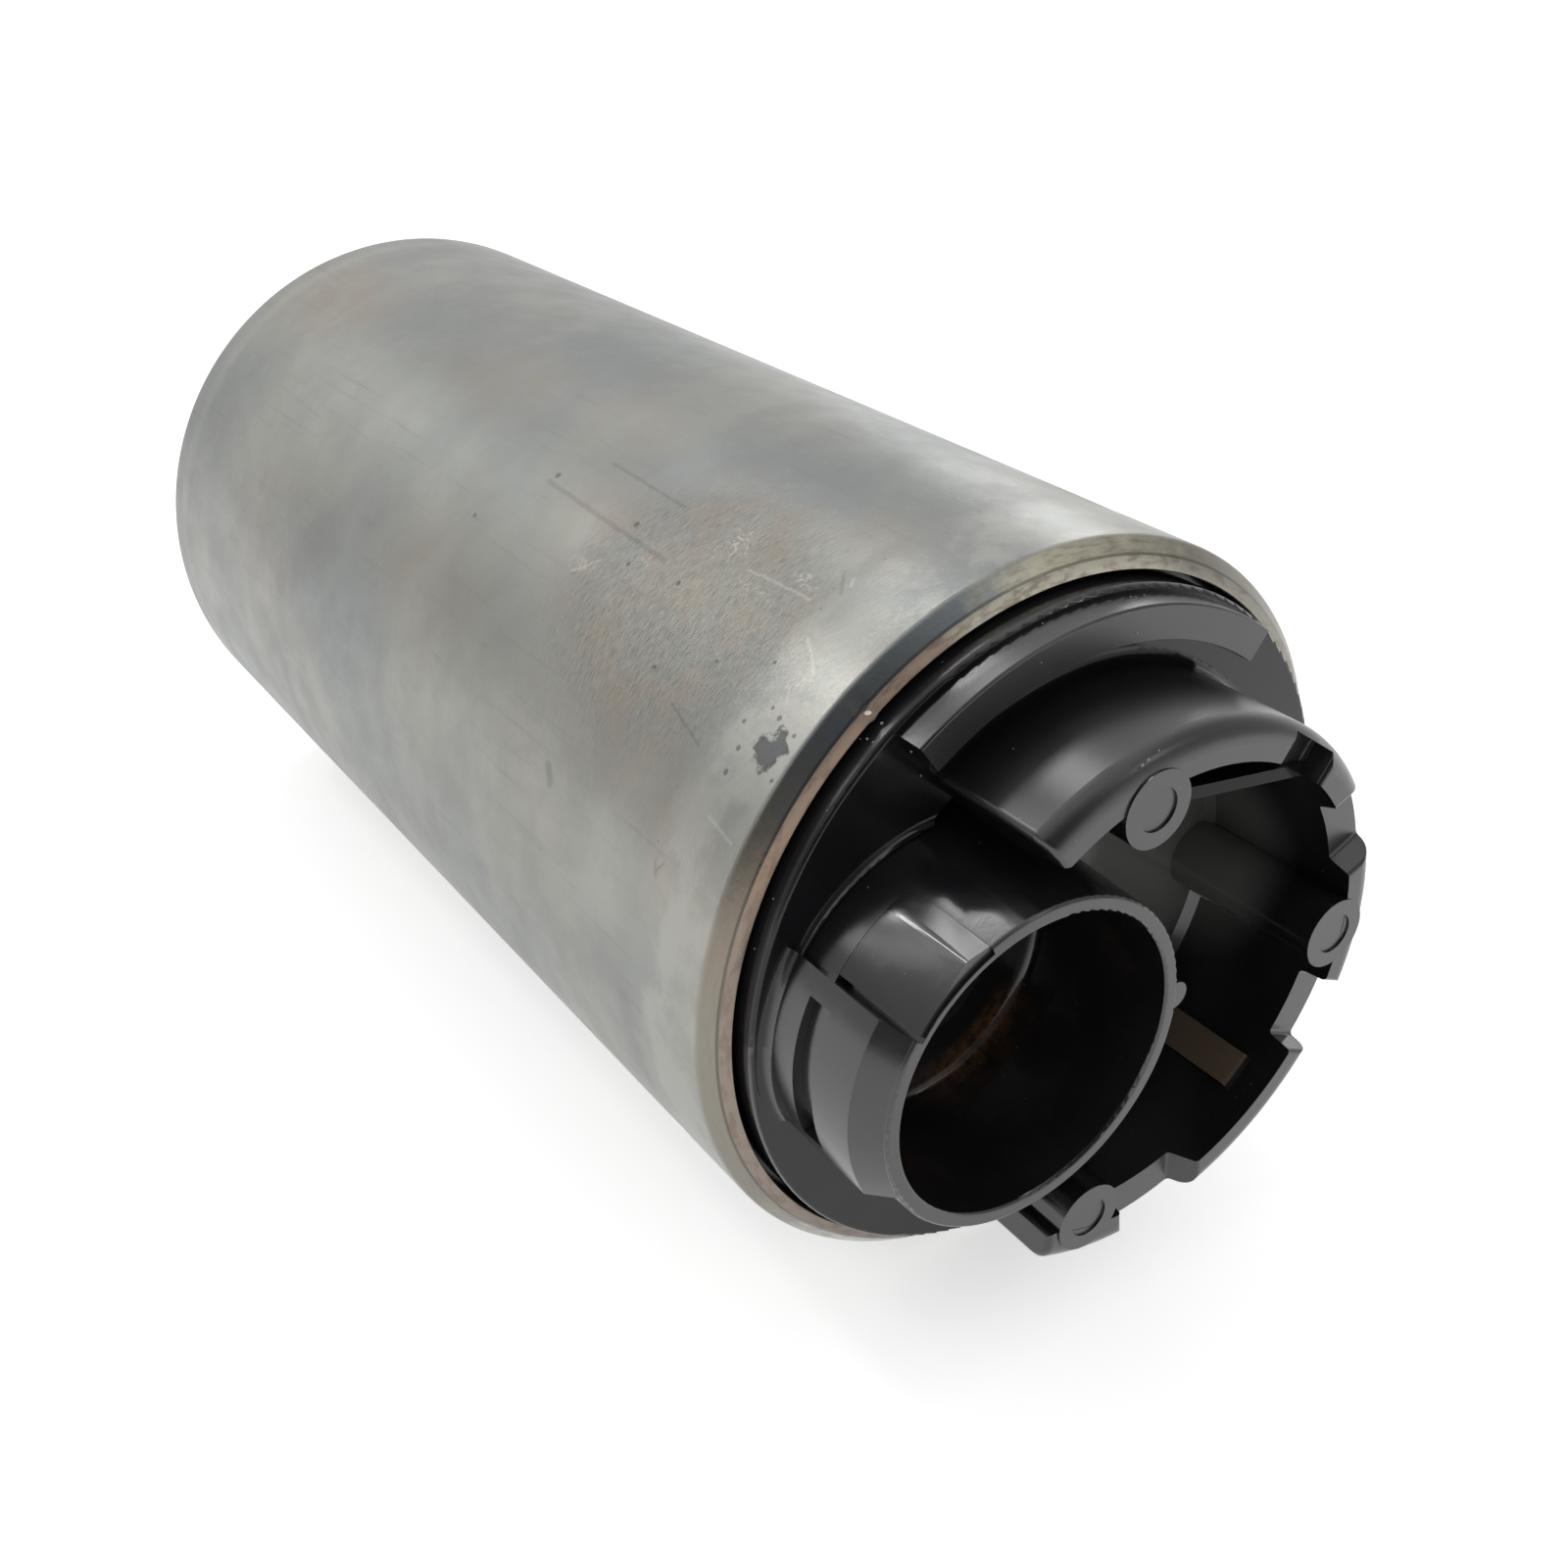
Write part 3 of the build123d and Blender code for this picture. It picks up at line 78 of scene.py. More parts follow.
def make_camera():
    data = bpy.data.cameras.new("camera")
    data.sensor_width = SENSOR_WIDTH
    data.lens = FOCAL_PIXELS / IMAGE_SIZE * SENSOR_WIDTH
    data.shift_x = (IMAGE_SIZE / 2 - PRINCIPAL_POINT[0]) / IMAGE_SIZE
    data.shift_y = (PRINCIPAL_POINT[1] - IMAGE_SIZE / 2) / IMAGE_SIZE
    data.clip_start = 1 * MM
    camera = bpy.data.objects.new("camera", data)
    camera.location = Vector(CAMERA_PLACE) * MM
    camera.rotation_euler = [radians(turn) for turn in CAMERA_TURN]
    bpy.context.scene.collection.objects.link(camera)
    bpy.context.scene.camera = camera


# Node trees
NUMBER_RESULTS = ("DISTANCE", "LENGTH", "DOT_PRODUCT")


class Graph:
    """Builds one node tree, with a method for each kind of node that the materials need."""

    def __init__(self, tree):
        self.tree = tree

    def node(self, kind, **settings):
        made = self.tree.nodes.new(kind)
        for name, value in settings.items():
            setattr(made, name, value)
        return made

    def put(self, value, socket):
        """Links a socket's value to another socket, or sets a plain value."""
        if isinstance(value, bpy.types.NodeSocket):
            self.tree.links.new(value, socket)
        elif isinstance(value, (tuple, list)) and len(value) == 3 and len(socket.default_value) == 4:
            socket.default_value = (*value, 1)
        else:
            socket.default_value = value

    def math(self, operation, first, second=0.0, clamp=False):
        made = self.node("ShaderNodeMath", operation=operation, use_clamp=clamp)
        self.put(first, made.inputs[0])
        self.put(second, made.inputs[1])
        return made.outputs[0]

    def times(self, first, *others):
        for other in others:
            first = self.math("MULTIPLY", first, other)
        return first

    def vector(self, operation, first, second=(0, 0, 0)):
        made = self.node("ShaderNodeVectorMath", operation=operation)
        self.put(first, made.inputs[0])
        self.put(second, made.inputs[1])
        return made.outputs["Value" if operation in NUMBER_RESULTS else "Vector"]

    def scale(self, vector, factor):
        made = self.node("ShaderNodeVectorMath", operation="SCALE")
        self.put(vector, made.inputs[0])
        self.put(factor, made.inputs["Scale"])
        return made.outputs["Vector"]

    def place(self):
        """The surface point in the part's own frame, in millimetres."""
        return self.vector("MULTIPLY", self.node("ShaderNodeTexCoord").outputs["Object"], (1 / MM,) * 3)

    def normal(self):
        """The surface's direction in the part's own frame."""
        return self.node("ShaderNodeTexCoord").outputs["Normal"]

    def split(self, vector):
        """The x, y and z of a vector."""
        made = self.node("ShaderNodeSeparateXYZ")
        self.put(vector, made.inputs[0])
        return made.outputs

    def away(self, y, z):
        """The distance from the line along X that y and z are measured from."""
        return self.math("SQRT", self.math("ADD", self.times(y, y), self.times(z, z)))

    def turn(self, y, z):
        """The angle round that line, from -180 to 180 degrees."""
        return self.times(self.math("ARCTAN2", z, y), 180 / pi)

    def noise(self, vector, size, detail=3.0, roughness=0.5, stretch=None, colour=False):
        """Noise whose grain is about size millimetres, drawn out along the axes in stretch."""
        if stretch:
            vector = self.vector("DIVIDE", vector, stretch)
        made = self.node("ShaderNodeTexNoise")
        self.put(vector, made.inputs["Vector"])
        made.inputs["Scale"].default_value = 1 / size
        made.inputs["Detail"].default_value = detail
        made.inputs["Roughness"].default_value = roughness
        return made.outputs["Color" if colour else "Fac"]

    def swing(self, noise, reach):
        """Noise moved so that it varies about 0, and scaled."""
        return self.times(self.math("SUBTRACT", noise, 0.5), reach)

    def wander(self, place, reach, size, detail, roughness=0.5):
        """The point moved by noise, so that the marks drawn from it get ragged edges."""
        shift = self.vector("SUBTRACT", self.noise(place, size, detail, roughness, colour=True), (0.5,) * 3)
        return self.vector("ADD", place, self.scale(shift, reach))

    def cells(self, vector, size):
        """The distance to the nearest of scattered points that lie about size millimetres apart."""
        made = self.node("ShaderNodeTexVoronoi")
        self.put(vector, made.inputs["Vector"])
        made.inputs["Scale"].default_value = 1 / size
        return made.outputs["Distance"]

    def fade(self, value, start, end, low=0.0, high=1.0):
        """Goes smoothly from low to high as value goes from start to end."""
        made = self.node("ShaderNodeMapRange", interpolation_type="SMOOTHSTEP")
        self.put(value, made.inputs["Value"])
        made.inputs["From Min"].default_value = start
        made.inputs["From Max"].default_value = end
        made.inputs["To Min"].default_value = low
        made.inputs["To Max"].default_value = high
        return made.outputs[0]

    def band(self, value, middle, outer, inner, high=1.0):
        """Goes smoothly from 0 to high as value comes from outer to inner of the middle."""
        return self.fade(self.math("ABSOLUTE", self.math("SUBTRACT", value, middle)), outer, inner, 0, high)

    def plateau(self, value, start, full, still_full, end):
        """Goes smoothly from 0 to 1 between the first two values, and back between the last two."""
        return self.times(self.fade(value, start, full), self.fade(value, end, still_full))

    def mix(self, share, first, second):
        """A colour that goes from first to second as share goes from 0 to 1."""
        made = self.node("ShaderNodeMix", data_type="RGBA", blend_type="MIX")
        self.put(share, made.inputs[0])
        self.put(first, made.inputs[6])
        self.put(second, made.inputs[7])
        return made.outputs[2]

    def blend(self, share, first, second):
        """A number that goes from first to second as share goes from 0 to 1."""
        made = self.node("ShaderNodeMix", data_type="FLOAT")
        self.put(share, made.inputs[0])
        self.put(first, made.inputs[2])
        self.put(second, made.inputs[3])
        return made.outputs[0]

    def bump(self, height, distance, normal=None):
        """Relief of the given height in millimetres."""
        made = self.node("ShaderNodeBump")
        self.put(height, made.inputs["Height"])
        made.inputs["Distance"].default_value = distance * MM
        made.inputs["Strength"].default_value = 1.0
        if normal:
            self.put(normal, made.inputs["Normal"])
        return made.outputs[0]


def new_material(name, **constants):
    """A material, its graph and its shader, with the shader's constant values set."""
    material = bpy.data.materials.new(name)
    material.use_nodes = True
    graph = Graph(material.node_tree)
    shader = material.node_tree.nodes["Principled BSDF"]
    for socket, value in constants.items():
        graph.put(value, shader.inputs[socket.replace("_", " ")])
    return material, graph, shader


# Shape of the steel barrel
BARREL_SEGMENTS = 384
BARREL_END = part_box("barrel_shell")[1].x / MM
BARREL_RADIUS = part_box("barrel_shell")[1].z / MM
BARREL_WALL = 1.0
LIP_RUN = 1.1
LIP_EDGE = 0.424
LIP_WALL = 0.6
LIP_KNEE = 0.27
LIP_END_RADIUS = 20.0
ROLL_MARK_SETBACK = 7.4
ROLL_MARK_WIDTH = 1.2
ROLL_MARK_DEPTH = 0.05
# The straight wall starts this far from the ends, and has closer points near the roll mark
STRAIGHT_SETBACK = 3
CLOSE_REACH = 10
CLOSE_STEP, WIDE_STEP = 0.5, 2.5
# Rounding radius and steps of the lip's knee and of its tip
KNEE_ROUNDING = (0.15, 2)
TIP_ROUNDING = (0.06, 3)
# The nick in the lip's cut edge: angle, half width in degrees, depth. It reaches this far from the end.
NICK = (129.4, 0.5, 0.12)
NICK_REACH = 0.5


def arc_points(corner, before, after, radius, steps=4):
    """Points of the arc of the given radius that rounds the corner between two neighbours."""
    corner, before, after = Vector(corner), Vector(before), Vector(after)
    back, ahead = (before - corner).normalized(), (after - corner).normalized()
    half = back.angle(ahead) / 2
    reach = radius / abs(sin(half)) * cos(half)
    centre = corner + (back + ahead).normalized() * radius / sin(half)
    start, end = corner + back * reach, corner + ahead * reach
    points = []
    for step in range(steps + 1):
        way = (start - centre).lerp(end - centre, step / steps).normalized()
        points.append(tuple(centre + way * radius))
    return points


def barrel_section():
    """Closed half section of the barrel, as (x, radius) points in millimetres.

    The near end is a cone and, past its knee, the flatter cut edge of the sheet."""
    end, radius = BARREL_END, BARREL_RADIUS
    bore = radius - BARREL_WALL
    lip = radius - LIP_RUN
    inside = end + lip - LIP_WALL * sqrt(2) - bore
    outer = [(-end, lip)]
    outer += arc_points((-end + LIP_RUN, radius), (-end, lip), (0, radius), LIP_RUN)
    x = -end + STRAIGHT_SETBACK
    while x < end - STRAIGHT_SETBACK:
        depth = ROLL_MARK_DEPTH * exp(-((x - end + ROLL_MARK_SETBACK) / ROLL_MARK_WIDTH * 2) ** 2)
        outer.append((x, radius - depth))
        x += CLOSE_STEP if x > end - CLOSE_REACH else WIDE_STEP
    outer += arc_points((end - LIP_RUN, radius), (0, radius), (end, lip), LIP_EDGE)
    knee = (end - LIP_KNEE, lip + LIP_KNEE)
    tip = (end, LIP_END_RADIUS)
    outer += arc_points(knee, (end - LIP_RUN, radius), tip, *KNEE_ROUNDING)
    outer += arc_points(tip, knee, (end - LIP_EDGE, lip - LIP_EDGE), *TIP_ROUNDING)
    outer += [(end - LIP_EDGE, lip - LIP_EDGE)]
    outer += [(inside, bore), (-inside, bore)]
    outer += [(-end + LIP_EDGE, lip - LIP_EDGE)]
    return outer


def lathe(name, section, segments, shift):
    """A closed ring mesh turned round the X axis from a closed section, with shift added to the radius."""
    made = bmesh.new()
    rings = []
    for step in range(segments):
        turn = 2 * pi * step / segments
        ring = []
        for x, radius in section:
            radius += shift(x, turn)
            ring.append(made.verts.new(Vector((x, radius * cos(turn), radius * sin(turn))) * MM))
        rings.append(ring)
    for step in range(segments):
        here, there = rings[step], rings[(step + 1) % segments]
        for i in range(len(section)):
            j = (i + 1) % len(section)
            made.faces.new((here[i], here[j], there[j], there[i]))
    bmesh.ops.recalc_face_normals(made, faces=made.faces)
    return finished(name, made)


def finished(name, made, sharp=35):
    """Turns a bmesh into an object that rides on the pump's body, shaded smooth up to an angle."""
    mesh = bpy.data.meshes.new(name)
    for face in made.faces:
        face.smooth = True
    for edge in made.edges:
        edge.smooth = len(edge.link_faces) == 2 and edge.calc_face_angle() < radians(sharp)
    made.to_mesh(mesh)
    made.free()
    piece = bpy.data.objects.new(name, mesh)
    bpy.context.scene.collection.objects.link(piece)
    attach(piece, "pump_body")
    return piece


def lip_nick(x, turn):
    """A small dent in the lip's cut edge."""
    angle, span, depth = NICK
    off = (degrees(turn) - angle) / span
    return -depth * exp(-off * off * 4) if x > BARREL_END - NICK_REACH and abs(off) < 2 else 0


def make_barrel():
    barrel = lathe("barrel_skin", barrel_section(), BARREL_SEGMENTS, lip_nick)
    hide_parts("barrel_shell")
    return barrel


# Clouds of tint on the barrel: place along X, angle, length, width, strength
TAN_CLOUDS = (
    (22.8, 115, 5, 3.5, 0.6), (27, 115, 5, 3, 0.55), (16.5, 123.5, 6, 3, 0.6), (21.2, 137, 6, 4, 0.45),
    (28.4, 151, 6, 4, 0.4), (35.2, 159, 4, 5, 0.45), (-30.7, 114, 9, 5, 0.8), (-4.4, 113, 8, 4, 0.7),
    (9, 108, 7, 4, 0.5), (33, 108, 4, 4, 0.5), (4, 150, 9, 4, 0.35), (-20, 165, 10, 7, 0.4),
)
# The dark and pale clouds are partly the steel's own mottling and partly painted reflection bands along the
# barrel.
DARK_CLOUDS = (
    (-12.7, 161.5, 8, 5, 0.7), (-5.3, 164, 8, 5, 0.5), (-15, 106, 14, 6, 0.6), (10, 146, 8, 5, 0.3),
    (22, 104, 9, 5, 0.45), (38.5, 112, 2, 4, 0.4), (0, 100, 12, 4, 0.4), (-34, 150, 5, 10, 0.3),
)
PALE_CLOUDS = (
    (-19.7, 133, 9, 7, 0.7), (-9.3, 131, 7, 5, 0.8), (-3.1, 133.5, 7, 4, 0.5), (30.4, 169, 5, 5, 0.5),
    (37.2, 124, 2.2, 3.2, 1.0), (39.1, 148, 1.2, 4, 0.9), (39.5, 81, 1.2, 6, 0.8), (-25, 145, 8, 6, 0.4),
)
# Torn spots whose bright grains are painted glints, in the same terms
TORN_MARKS_AND_GLINTS = (
    (25.8, 119, 1.6, 0.9, 0.7), (24.6, 122, 1.0, 0.6, 0.5), (31.6, 119.5, 1.6, 0.5, 0.7),
    (17.0, 134, 1.4, 0.6, 0.4), (29.5, 124.5, 2.2, 0.6, 0.35), (21.0, 128, 1.0, 0.8, 0.25),
    (36.6, 131, 1.2, 1.8, 0.35), (38.4, 120, 1.0, 2.0, 0.4),
)
# Short lines: both ends as x and angle, then the width
DARK_LINES = (
    (33.0, 115.2, 34.2, 118.4, 0.16), (8.7, 126.0, 22.4, 127.2, 0.22), (22.6, 161.2, 23.2, 163.0, 0.45),
    (33.8, 161.4, 34.2, 163.2, 0.14), (34.0, 163.0, 34.5, 161.2, 0.14), (12.0, 118.0, 20.0, 118.6, 0.16),
    (30.0, 143.0, 33.4, 145.4, 0.13),
)
BRIGHT_LINES = (
    (33.9, 115.6, 34.3, 116.8, 0.14), (16.4, 136.0, 18.1, 132.0, 0.12), (28.0, 122.0, 33.0, 121.3, 0.14),
    (35.0, 126.0, 37.0, 129.5, 0.12), (36.4, 152.0, 38.6, 153.0, 0.12),
)
# Pits: place along X, angle, radius
PITS = (
    (9.0, 124.4, 0.28), (18.2, 124.7, 0.25), (24.6, 128.9, 0.22), (36.0, 146.0, 0.22), (37.1, 136.6, 0.2),
    (38.6, 137.4, 0.16), (35.9, 142.6, 0.2), (35.2, 139.4, 0.16), (36.3, 136.0, 0.14), (39.0, 143.5, 0.15),
    (34.4, 131.0, 0.15), (31.0, 135.0, 0.14), (27.3, 140.3, 0.16), (20.2, 130.4, 0.18), (5.0, 137.0, 0.2),
)
# Smudge near the lip: place along X, angle, radius
SMUDGE = (37.8, 140.5, 0.9)
# Scratched patch: place along X and angle of its middle, and its half sizes
PATCH_MIDDLE = (25.5, 131)
PATCH_REACH = (11, 9, 9)
# The burnished end, lighter partly as a painted highlight, starts between these places, and a line of
# specks follows the roll mark
BURNISH_AND_HIGHLIGHT_FROM = (33.4, 35.4)
SPECKS_AT = 34.0
REAR_ROLL_AT = -36.9

# Tints of the steel. Besides the steel's own colour, the dark and pale clouds carry painted reflection
# bands, the torn marks' grains painted glints and the burnished end a painted highlight.
STEEL_TINTS = {
    "cool": (0.235, 0.245, 0.238),
    "olive": (0.285, 0.284, 0.255),
    "dark_cloud": (0.155, 0.17, 0.175),
    "pale": (0.36, 0.365, 0.335),
    "tan": (0.30, 0.24, 0.185),
    "mottle": (0.19, 0.19, 0.183),
    "streak": (0.16, 0.155, 0.15),
    "speckle": (0.33, 0.31, 0.275),
    "scratch": (0.16, 0.152, 0.14),
    "gloss": (0.44, 0.41, 0.34),
    "warm": (0.37, 0.30, 0.235),
    "torn_glint": (0.52, 0.49, 0.40),
    "burnish_and_highlight": (0.35, 0.347, 0.32),
    "speck": (0.12, 0.115, 0.11),
    "dark_line": (0.09, 0.085, 0.08),
    "bright_line": (0.50, 0.49, 0.45),
    "pit": (0.05, 0.048, 0.045),
    "smudge": (0.085, 0.09, 0.095),
    "smudge_rim": (0.05, 0.045, 0.04),
    "rear_roll": (0.46, 0.45, 0.42),
}


def on_barrel(x, angle):
    return (x, BARREL_RADIUS * cos(radians(angle)), BARREL_RADIUS * sin(radians(angle)))


def ellipsoid(g, place, middle, reach):
    """The distance from the middle, as a share of the reach along each axis."""
    return g.vector("LENGTH", g.vector("DIVIDE", g.vector("SUBTRACT", place, middle), reach))


def patches(g, place, marks, ragged):
    """How far the point lies inside any of the soft marks, from 0 to 1."""
    total = 0.0
    moved = g.wander(place, ragged, 3.0, 4, 0.6)
    for x, angle, length, width, strength in marks:
        gap = ellipsoid(g, moved, on_barrel(x, angle), (length, width, width))
        total = g.math("MAXIMUM", total, g.fade(gap, 1.3, 0.1, 0, strength))
    return total


def line_marks(g, place, lines):
    """How far the point lies on one of the short lines, from 0 to 1."""
    total = 0.0
    moved = g.wander(place, 0.25, 0.8, 3)
    for x0, angle0, x1, angle1, width in lines:
        start, end = Vector(on_barrel(x0, angle0)), Vector(on_barrel(x1, angle1))
        along = end - start
        offset = g.vector("SUBTRACT", moved, tuple(start))
        reached = g.vector("DOT_PRODUCT", offset, tuple(along))
        share = g.math("DIVIDE", reached, along.length_squared, clamp=True)
        gap = g.vector("LENGTH", g.vector("SUBTRACT", offset, g.scale(tuple(along), share)))
        total = g.math("MAXIMUM", total, g.fade(gap, width, width * 0.3))
    return total


def pit_marks(g, place):
    """How far the point lies in one of the pits, from 0 to 1."""
    total = 0.0
    for x, angle, radius in PITS:
        gap = g.vector("DISTANCE", place, on_barrel(x, angle))
        total = g.math("MAXIMUM", total, g.fade(gap, radius, radius * 0.5))
    return total


def smudge_marks(g, place, speckle):
    """How far the point lies in the smudge, and on its broken rim, each from 0 to 1."""
    x, angle, radius = SMUDGE
    edge = g.swing(g.noise(place, 0.9, 3), 2.2)
    gap = g.math("ADD", g.vector("DISTANCE", place, on_barrel(x, angle)), edge)
    inside = g.fade(gap, radius, radius * 0.75)
    rim = g.plateau(gap, radius * 0.6, radius * 0.95, radius, radius * 1.25)
    return inside, g.times(rim, g.fade(speckle, 0.4, 0.6, 0, 0.8))


def unroll(g, parts):
    """The point as millimetres along the axis and round the barrel, with the seam underneath."""
    joined = g.node("ShaderNodeCombineXYZ")
    g.put(parts[0], joined.inputs[0])
    g.put(g.times(g.math("ARCTAN2", parts[1], parts[2]), BARREL_RADIUS), joined.inputs[1])
    return joined.outputs[0]


def barrel_material():
    material, g, shader = new_material("barrel_steel", Metallic=1.0)
    place = g.place()
    parts = g.split(place)
    x = parts[0]
    unrolled = unroll(g, parts)
    clouds = g.noise(place, 16, 4, 0.55)
    mottle = g.noise(place, 3.5, 5, 0.6)
    speckle = g.noise(place, 0.5, 4, 0.65)
    streaks = g.noise(unrolled, 1.0, 4, 0.6, stretch=(14, 0.55, 1))
    hatch = g.noise(unrolled, 1.0, 3, 0.65, stretch=(0.09, 0.8, 1))
    patch = g.fade(ellipsoid(g, place, on_barrel(*PATCH_MIDDLE), PATCH_REACH), 1.15, 0.55)
    glint_grain = g.fade(g.noise(unrolled, 0.3, 4, 0.75), 0.48, 0.6)
    burnish_and_highlight = g.fade(g.math("ADD", x, g.swing(mottle, 2.5)), *BURNISH_AND_HIGHLIGHT_FROM)
    specks = g.fade(g.cells(unrolled, 0.9), 0.12, 0.05)
    smudge, smudge_rim = smudge_marks(g, place, speckle)

    # Each layer's tint and share, from the ground up
    colour = g.mix(g.fade(clouds, 0.35, 0.65), STEEL_TINTS["cool"], STEEL_TINTS["olive"])
    layers = (
        # Dark and pale clouds: partly mottling, partly painted reflection bands.
        ("dark_cloud", g.times(patches(g, place, DARK_CLOUDS, 3), 0.85)),
        ("pale", g.times(patches(g, place, PALE_CLOUDS, 2.5), 0.7)),
        ("tan", g.times(patches(g, place, TAN_CLOUDS, 3), g.fade(mottle, 0.35, 0.65, 0.3, 0.75))),
        ("mottle", g.fade(mottle, 0.35, 0.7, 0.0, 0.16)),
        ("streak", g.fade(streaks, 0.55, 0.8, 0.0, 0.4)),
        ("speckle", g.fade(speckle, 0.55, 0.8, 0.0, 0.4)),
        ("scratch", g.times(patch, g.fade(hatch, 0.5, 0.6), 0.6)),
        ("gloss", g.times(patch, g.fade(hatch, 0.42, 0.34, 0.0, 0.45))),
        ("warm", g.times(patch, g.fade(mottle, 0.45, 0.65, 0.0, 0.3))),
        # Torn marks: real scratches, with painted glints on their bright grains.
        ("torn_glint", g.times(patches(g, place, TORN_MARKS_AND_GLINTS, 2.0), glint_grain)),
        # The burnished end: lighter, partly as a painted highlight near the lip.
        ("burnish_and_highlight", g.times(burnish_and_highlight, g.fade(mottle, 0.4, 0.6, 0.1, 0.8))),
        ("speck", g.times(g.band(x, SPECKS_AT, 1.2, 0.2), specks, 0.6)),
        ("dark_line", g.times(line_marks(g, place, DARK_LINES), 0.28)),
        ("pit", g.times(pit_marks(g, place), 0.6)),
        ("bright_line", g.times(line_marks(g, place, BRIGHT_LINES), 0.3)),
        ("smudge", g.times(smudge, 0.85)),
        ("smudge_rim", smudge_rim),
        ("rear_roll", g.times(g.band(x, REAR_ROLL_AT, 1.2, 0.1), 0.15)),
    )
    for tint, share in layers:
        colour = g.mix(share, colour, STEEL_TINTS[tint])
    g.put(lip_colour(g, place, parts, colour), shader.inputs["Base Color"])

    rough = g.fade(mottle, 0.3, 0.7, 0.36, 0.44)
    rough = g.blend(g.times(burnish_and_highlight, 0.7), rough, 0.35)
    rough = g.blend(g.times(patch, 0.6), rough, 0.46)
    g.put(g.blend(smudge, rough, 0.42), shader.inputs["Roughness"])
    waves = g.bump(g.noise(unrolled, 1.0, 2, 0.5, stretch=(14, 9, 1)), 0.025)
    grain = g.bump(speckle, 0.012, waves)
    cuts = g.bump(g.times(hatch, g.fade(patch, 0, 1, 0.3, 1)), 0.05, grain)
    g.put(cuts, shader.inputs["Normal"])
    return material


# Tints round the lip's cone: the first is at the top, each other sets in between its two angles. The pale
# gold top is partly the steel's own tint and partly a painted highlight, and the near-white stretch from
# 215 to 240 degrees is a painted highlight.
CONE_TOP_TINT_AND_HIGHLIGHT = (0.56, 0.52, 0.40)
CONE_TINTS_AND_HIGHLIGHT = (
    (96, 112, (0.17, 0.20, 0.225)), (138, 152, (0.25, 0.215, 0.175)), (165, 180, (0.24, 0.225, 0.19)),
    (82, 68, (0.26, 0.25, 0.205)), (215, 240, (0.62, 0.61, 0.58)),
)
# The same for the cut edge inside the cone
CUT_TOP_TINT = (0.52, 0.49, 0.40)
CUT_TINTS = (
    (104, 122, (0.30, 0.215, 0.16)), (152, 172, (0.26, 0.215, 0.18)), (82, 68, (0.27, 0.255, 0.215)),
)
CONE_STREAK_TINT = (0.22, 0.19, 0.15)
CUT_STREAK_TINT = (0.17, 0.12, 0.09)
# Painted shade: a dark line along the knee where the cone meets the cut edge
SEAM_RADIUS = 20.72
SEAM_SHADE_TINT = (0.035, 0.033, 0.03)
# Painted glint at the nick: place and half sizes
GLINT_MIDDLE = (40.4, -12.95, 15.75)
GLINT_REACH = (0.34, 0.22, 0.12)
PAINTED_GLINT_TINT = (0.92, 0.86, 0.74)


def banded(g, angle, first, tints):
    """A colour that starts as the first tint and takes on each other one between its angles."""
    colour = first
    for start, end, tint in tints:
        colour = g.mix(g.fade(angle, start, end), colour, tint)
    return colour


def lip_colour(g, place, parts, colour):
    """Blued, browned and bright stretches round the rolled lip, the bright ones partly painted highlights,
    the paler cut edge inside it, a painted shade line along the knee and a painted glint at the nick.
    """
    # Measured from the top, so that the jump from 270 to -90 degrees is underneath
    from_top = g.turn(parts[2], parts[1])
    uneven = g.swing(g.noise(place, 2.0, 4, 0.6), 22)
    angle = g.math("ADD", g.math("SUBTRACT", 90, from_top), uneven)
    streaky = g.noise(place, 0.5, 4, 0.6, stretch=(0.35, 2.5, 2.5))
    # The cone's bright stretches at the top and underneath are partly painted highlights.
    cone = banded(g, angle, CONE_TOP_TINT_AND_HIGHLIGHT, CONE_TINTS_AND_HIGHLIGHT)
    cone = g.mix(g.fade(streaky, 0.4, 0.7, 0, 0.6), cone, CONE_STREAK_TINT)
    cut = banded(g, angle, CUT_TOP_TINT, CUT_TINTS)
    cut = g.mix(g.fade(streaky, 0.45, 0.65, 0, 0.6), cut, CUT_STREAK_TINT)
    tint = g.mix(g.fade(g.split(g.normal())[0], 0.78, 0.9), cone, cut)
    radius = g.away(parts[1], parts[2])
    # Painted shade line along the knee.
    tint = g.mix(g.band(radius, SEAM_RADIUS, 0.09, 0.02, 0.6), tint, SEAM_SHADE_TINT)
    # Painted glint at the nick.
    glint = g.fade(ellipsoid(g, place, GLINT_MIDDLE, GLINT_REACH), 1.0, 0.7, 0, 0.95)
    tint = g.mix(glint, tint, PAINTED_GLINT_TINT)
    lip_start = BARREL_END - LIP_RUN
    return g.mix(g.fade(parts[0], lip_start - 0.15, lip_start + 0.2, 0, 0.9), colour, tint)


# Black plastic. A pair of places or angles says where a change of finish starts and ends.
PLASTIC_TINT = (0.007, 0.007, 0.008)
CLOUDED_TINT = (0.0112, 0.0112, 0.0128)
# Lighter tint of the faces turned to the suction end: partly rubbing, partly painted light.
FACE_TINT = (0.024, 0.024, 0.023)
SPECK_TINT = (0.22, 0.19, 0.16)
RUST_TINT = (0.085, 0.04, 0.016)
# Painted brown reflection on the rib of the skirt's inner wall.
BROWN_REFLECTION_TINT = (0.105, 0.075, 0.052)
# Painted reflection: a lighter grey on the cavity floor near the inlet tube, fading out from its middle.
CAVITY_FLOOR_REFLECTION_TINT = (0.11, 0.11, 0.105)
WEB_TOP = 48.5
RUBBED_AND_LIT_FROM = (42.6, 43.2)
FLANGE_TO = (42.6, 42.2)
COLLAR_RADII = (18.6, 18.9)
COLLAR_TO = (42.0, 41.7)
COLLAR_DULL_FROM = (108, 122)
SATIN_RADII = (15.0, 15.4)
SATIN_FROM = (42.0, 42.6)
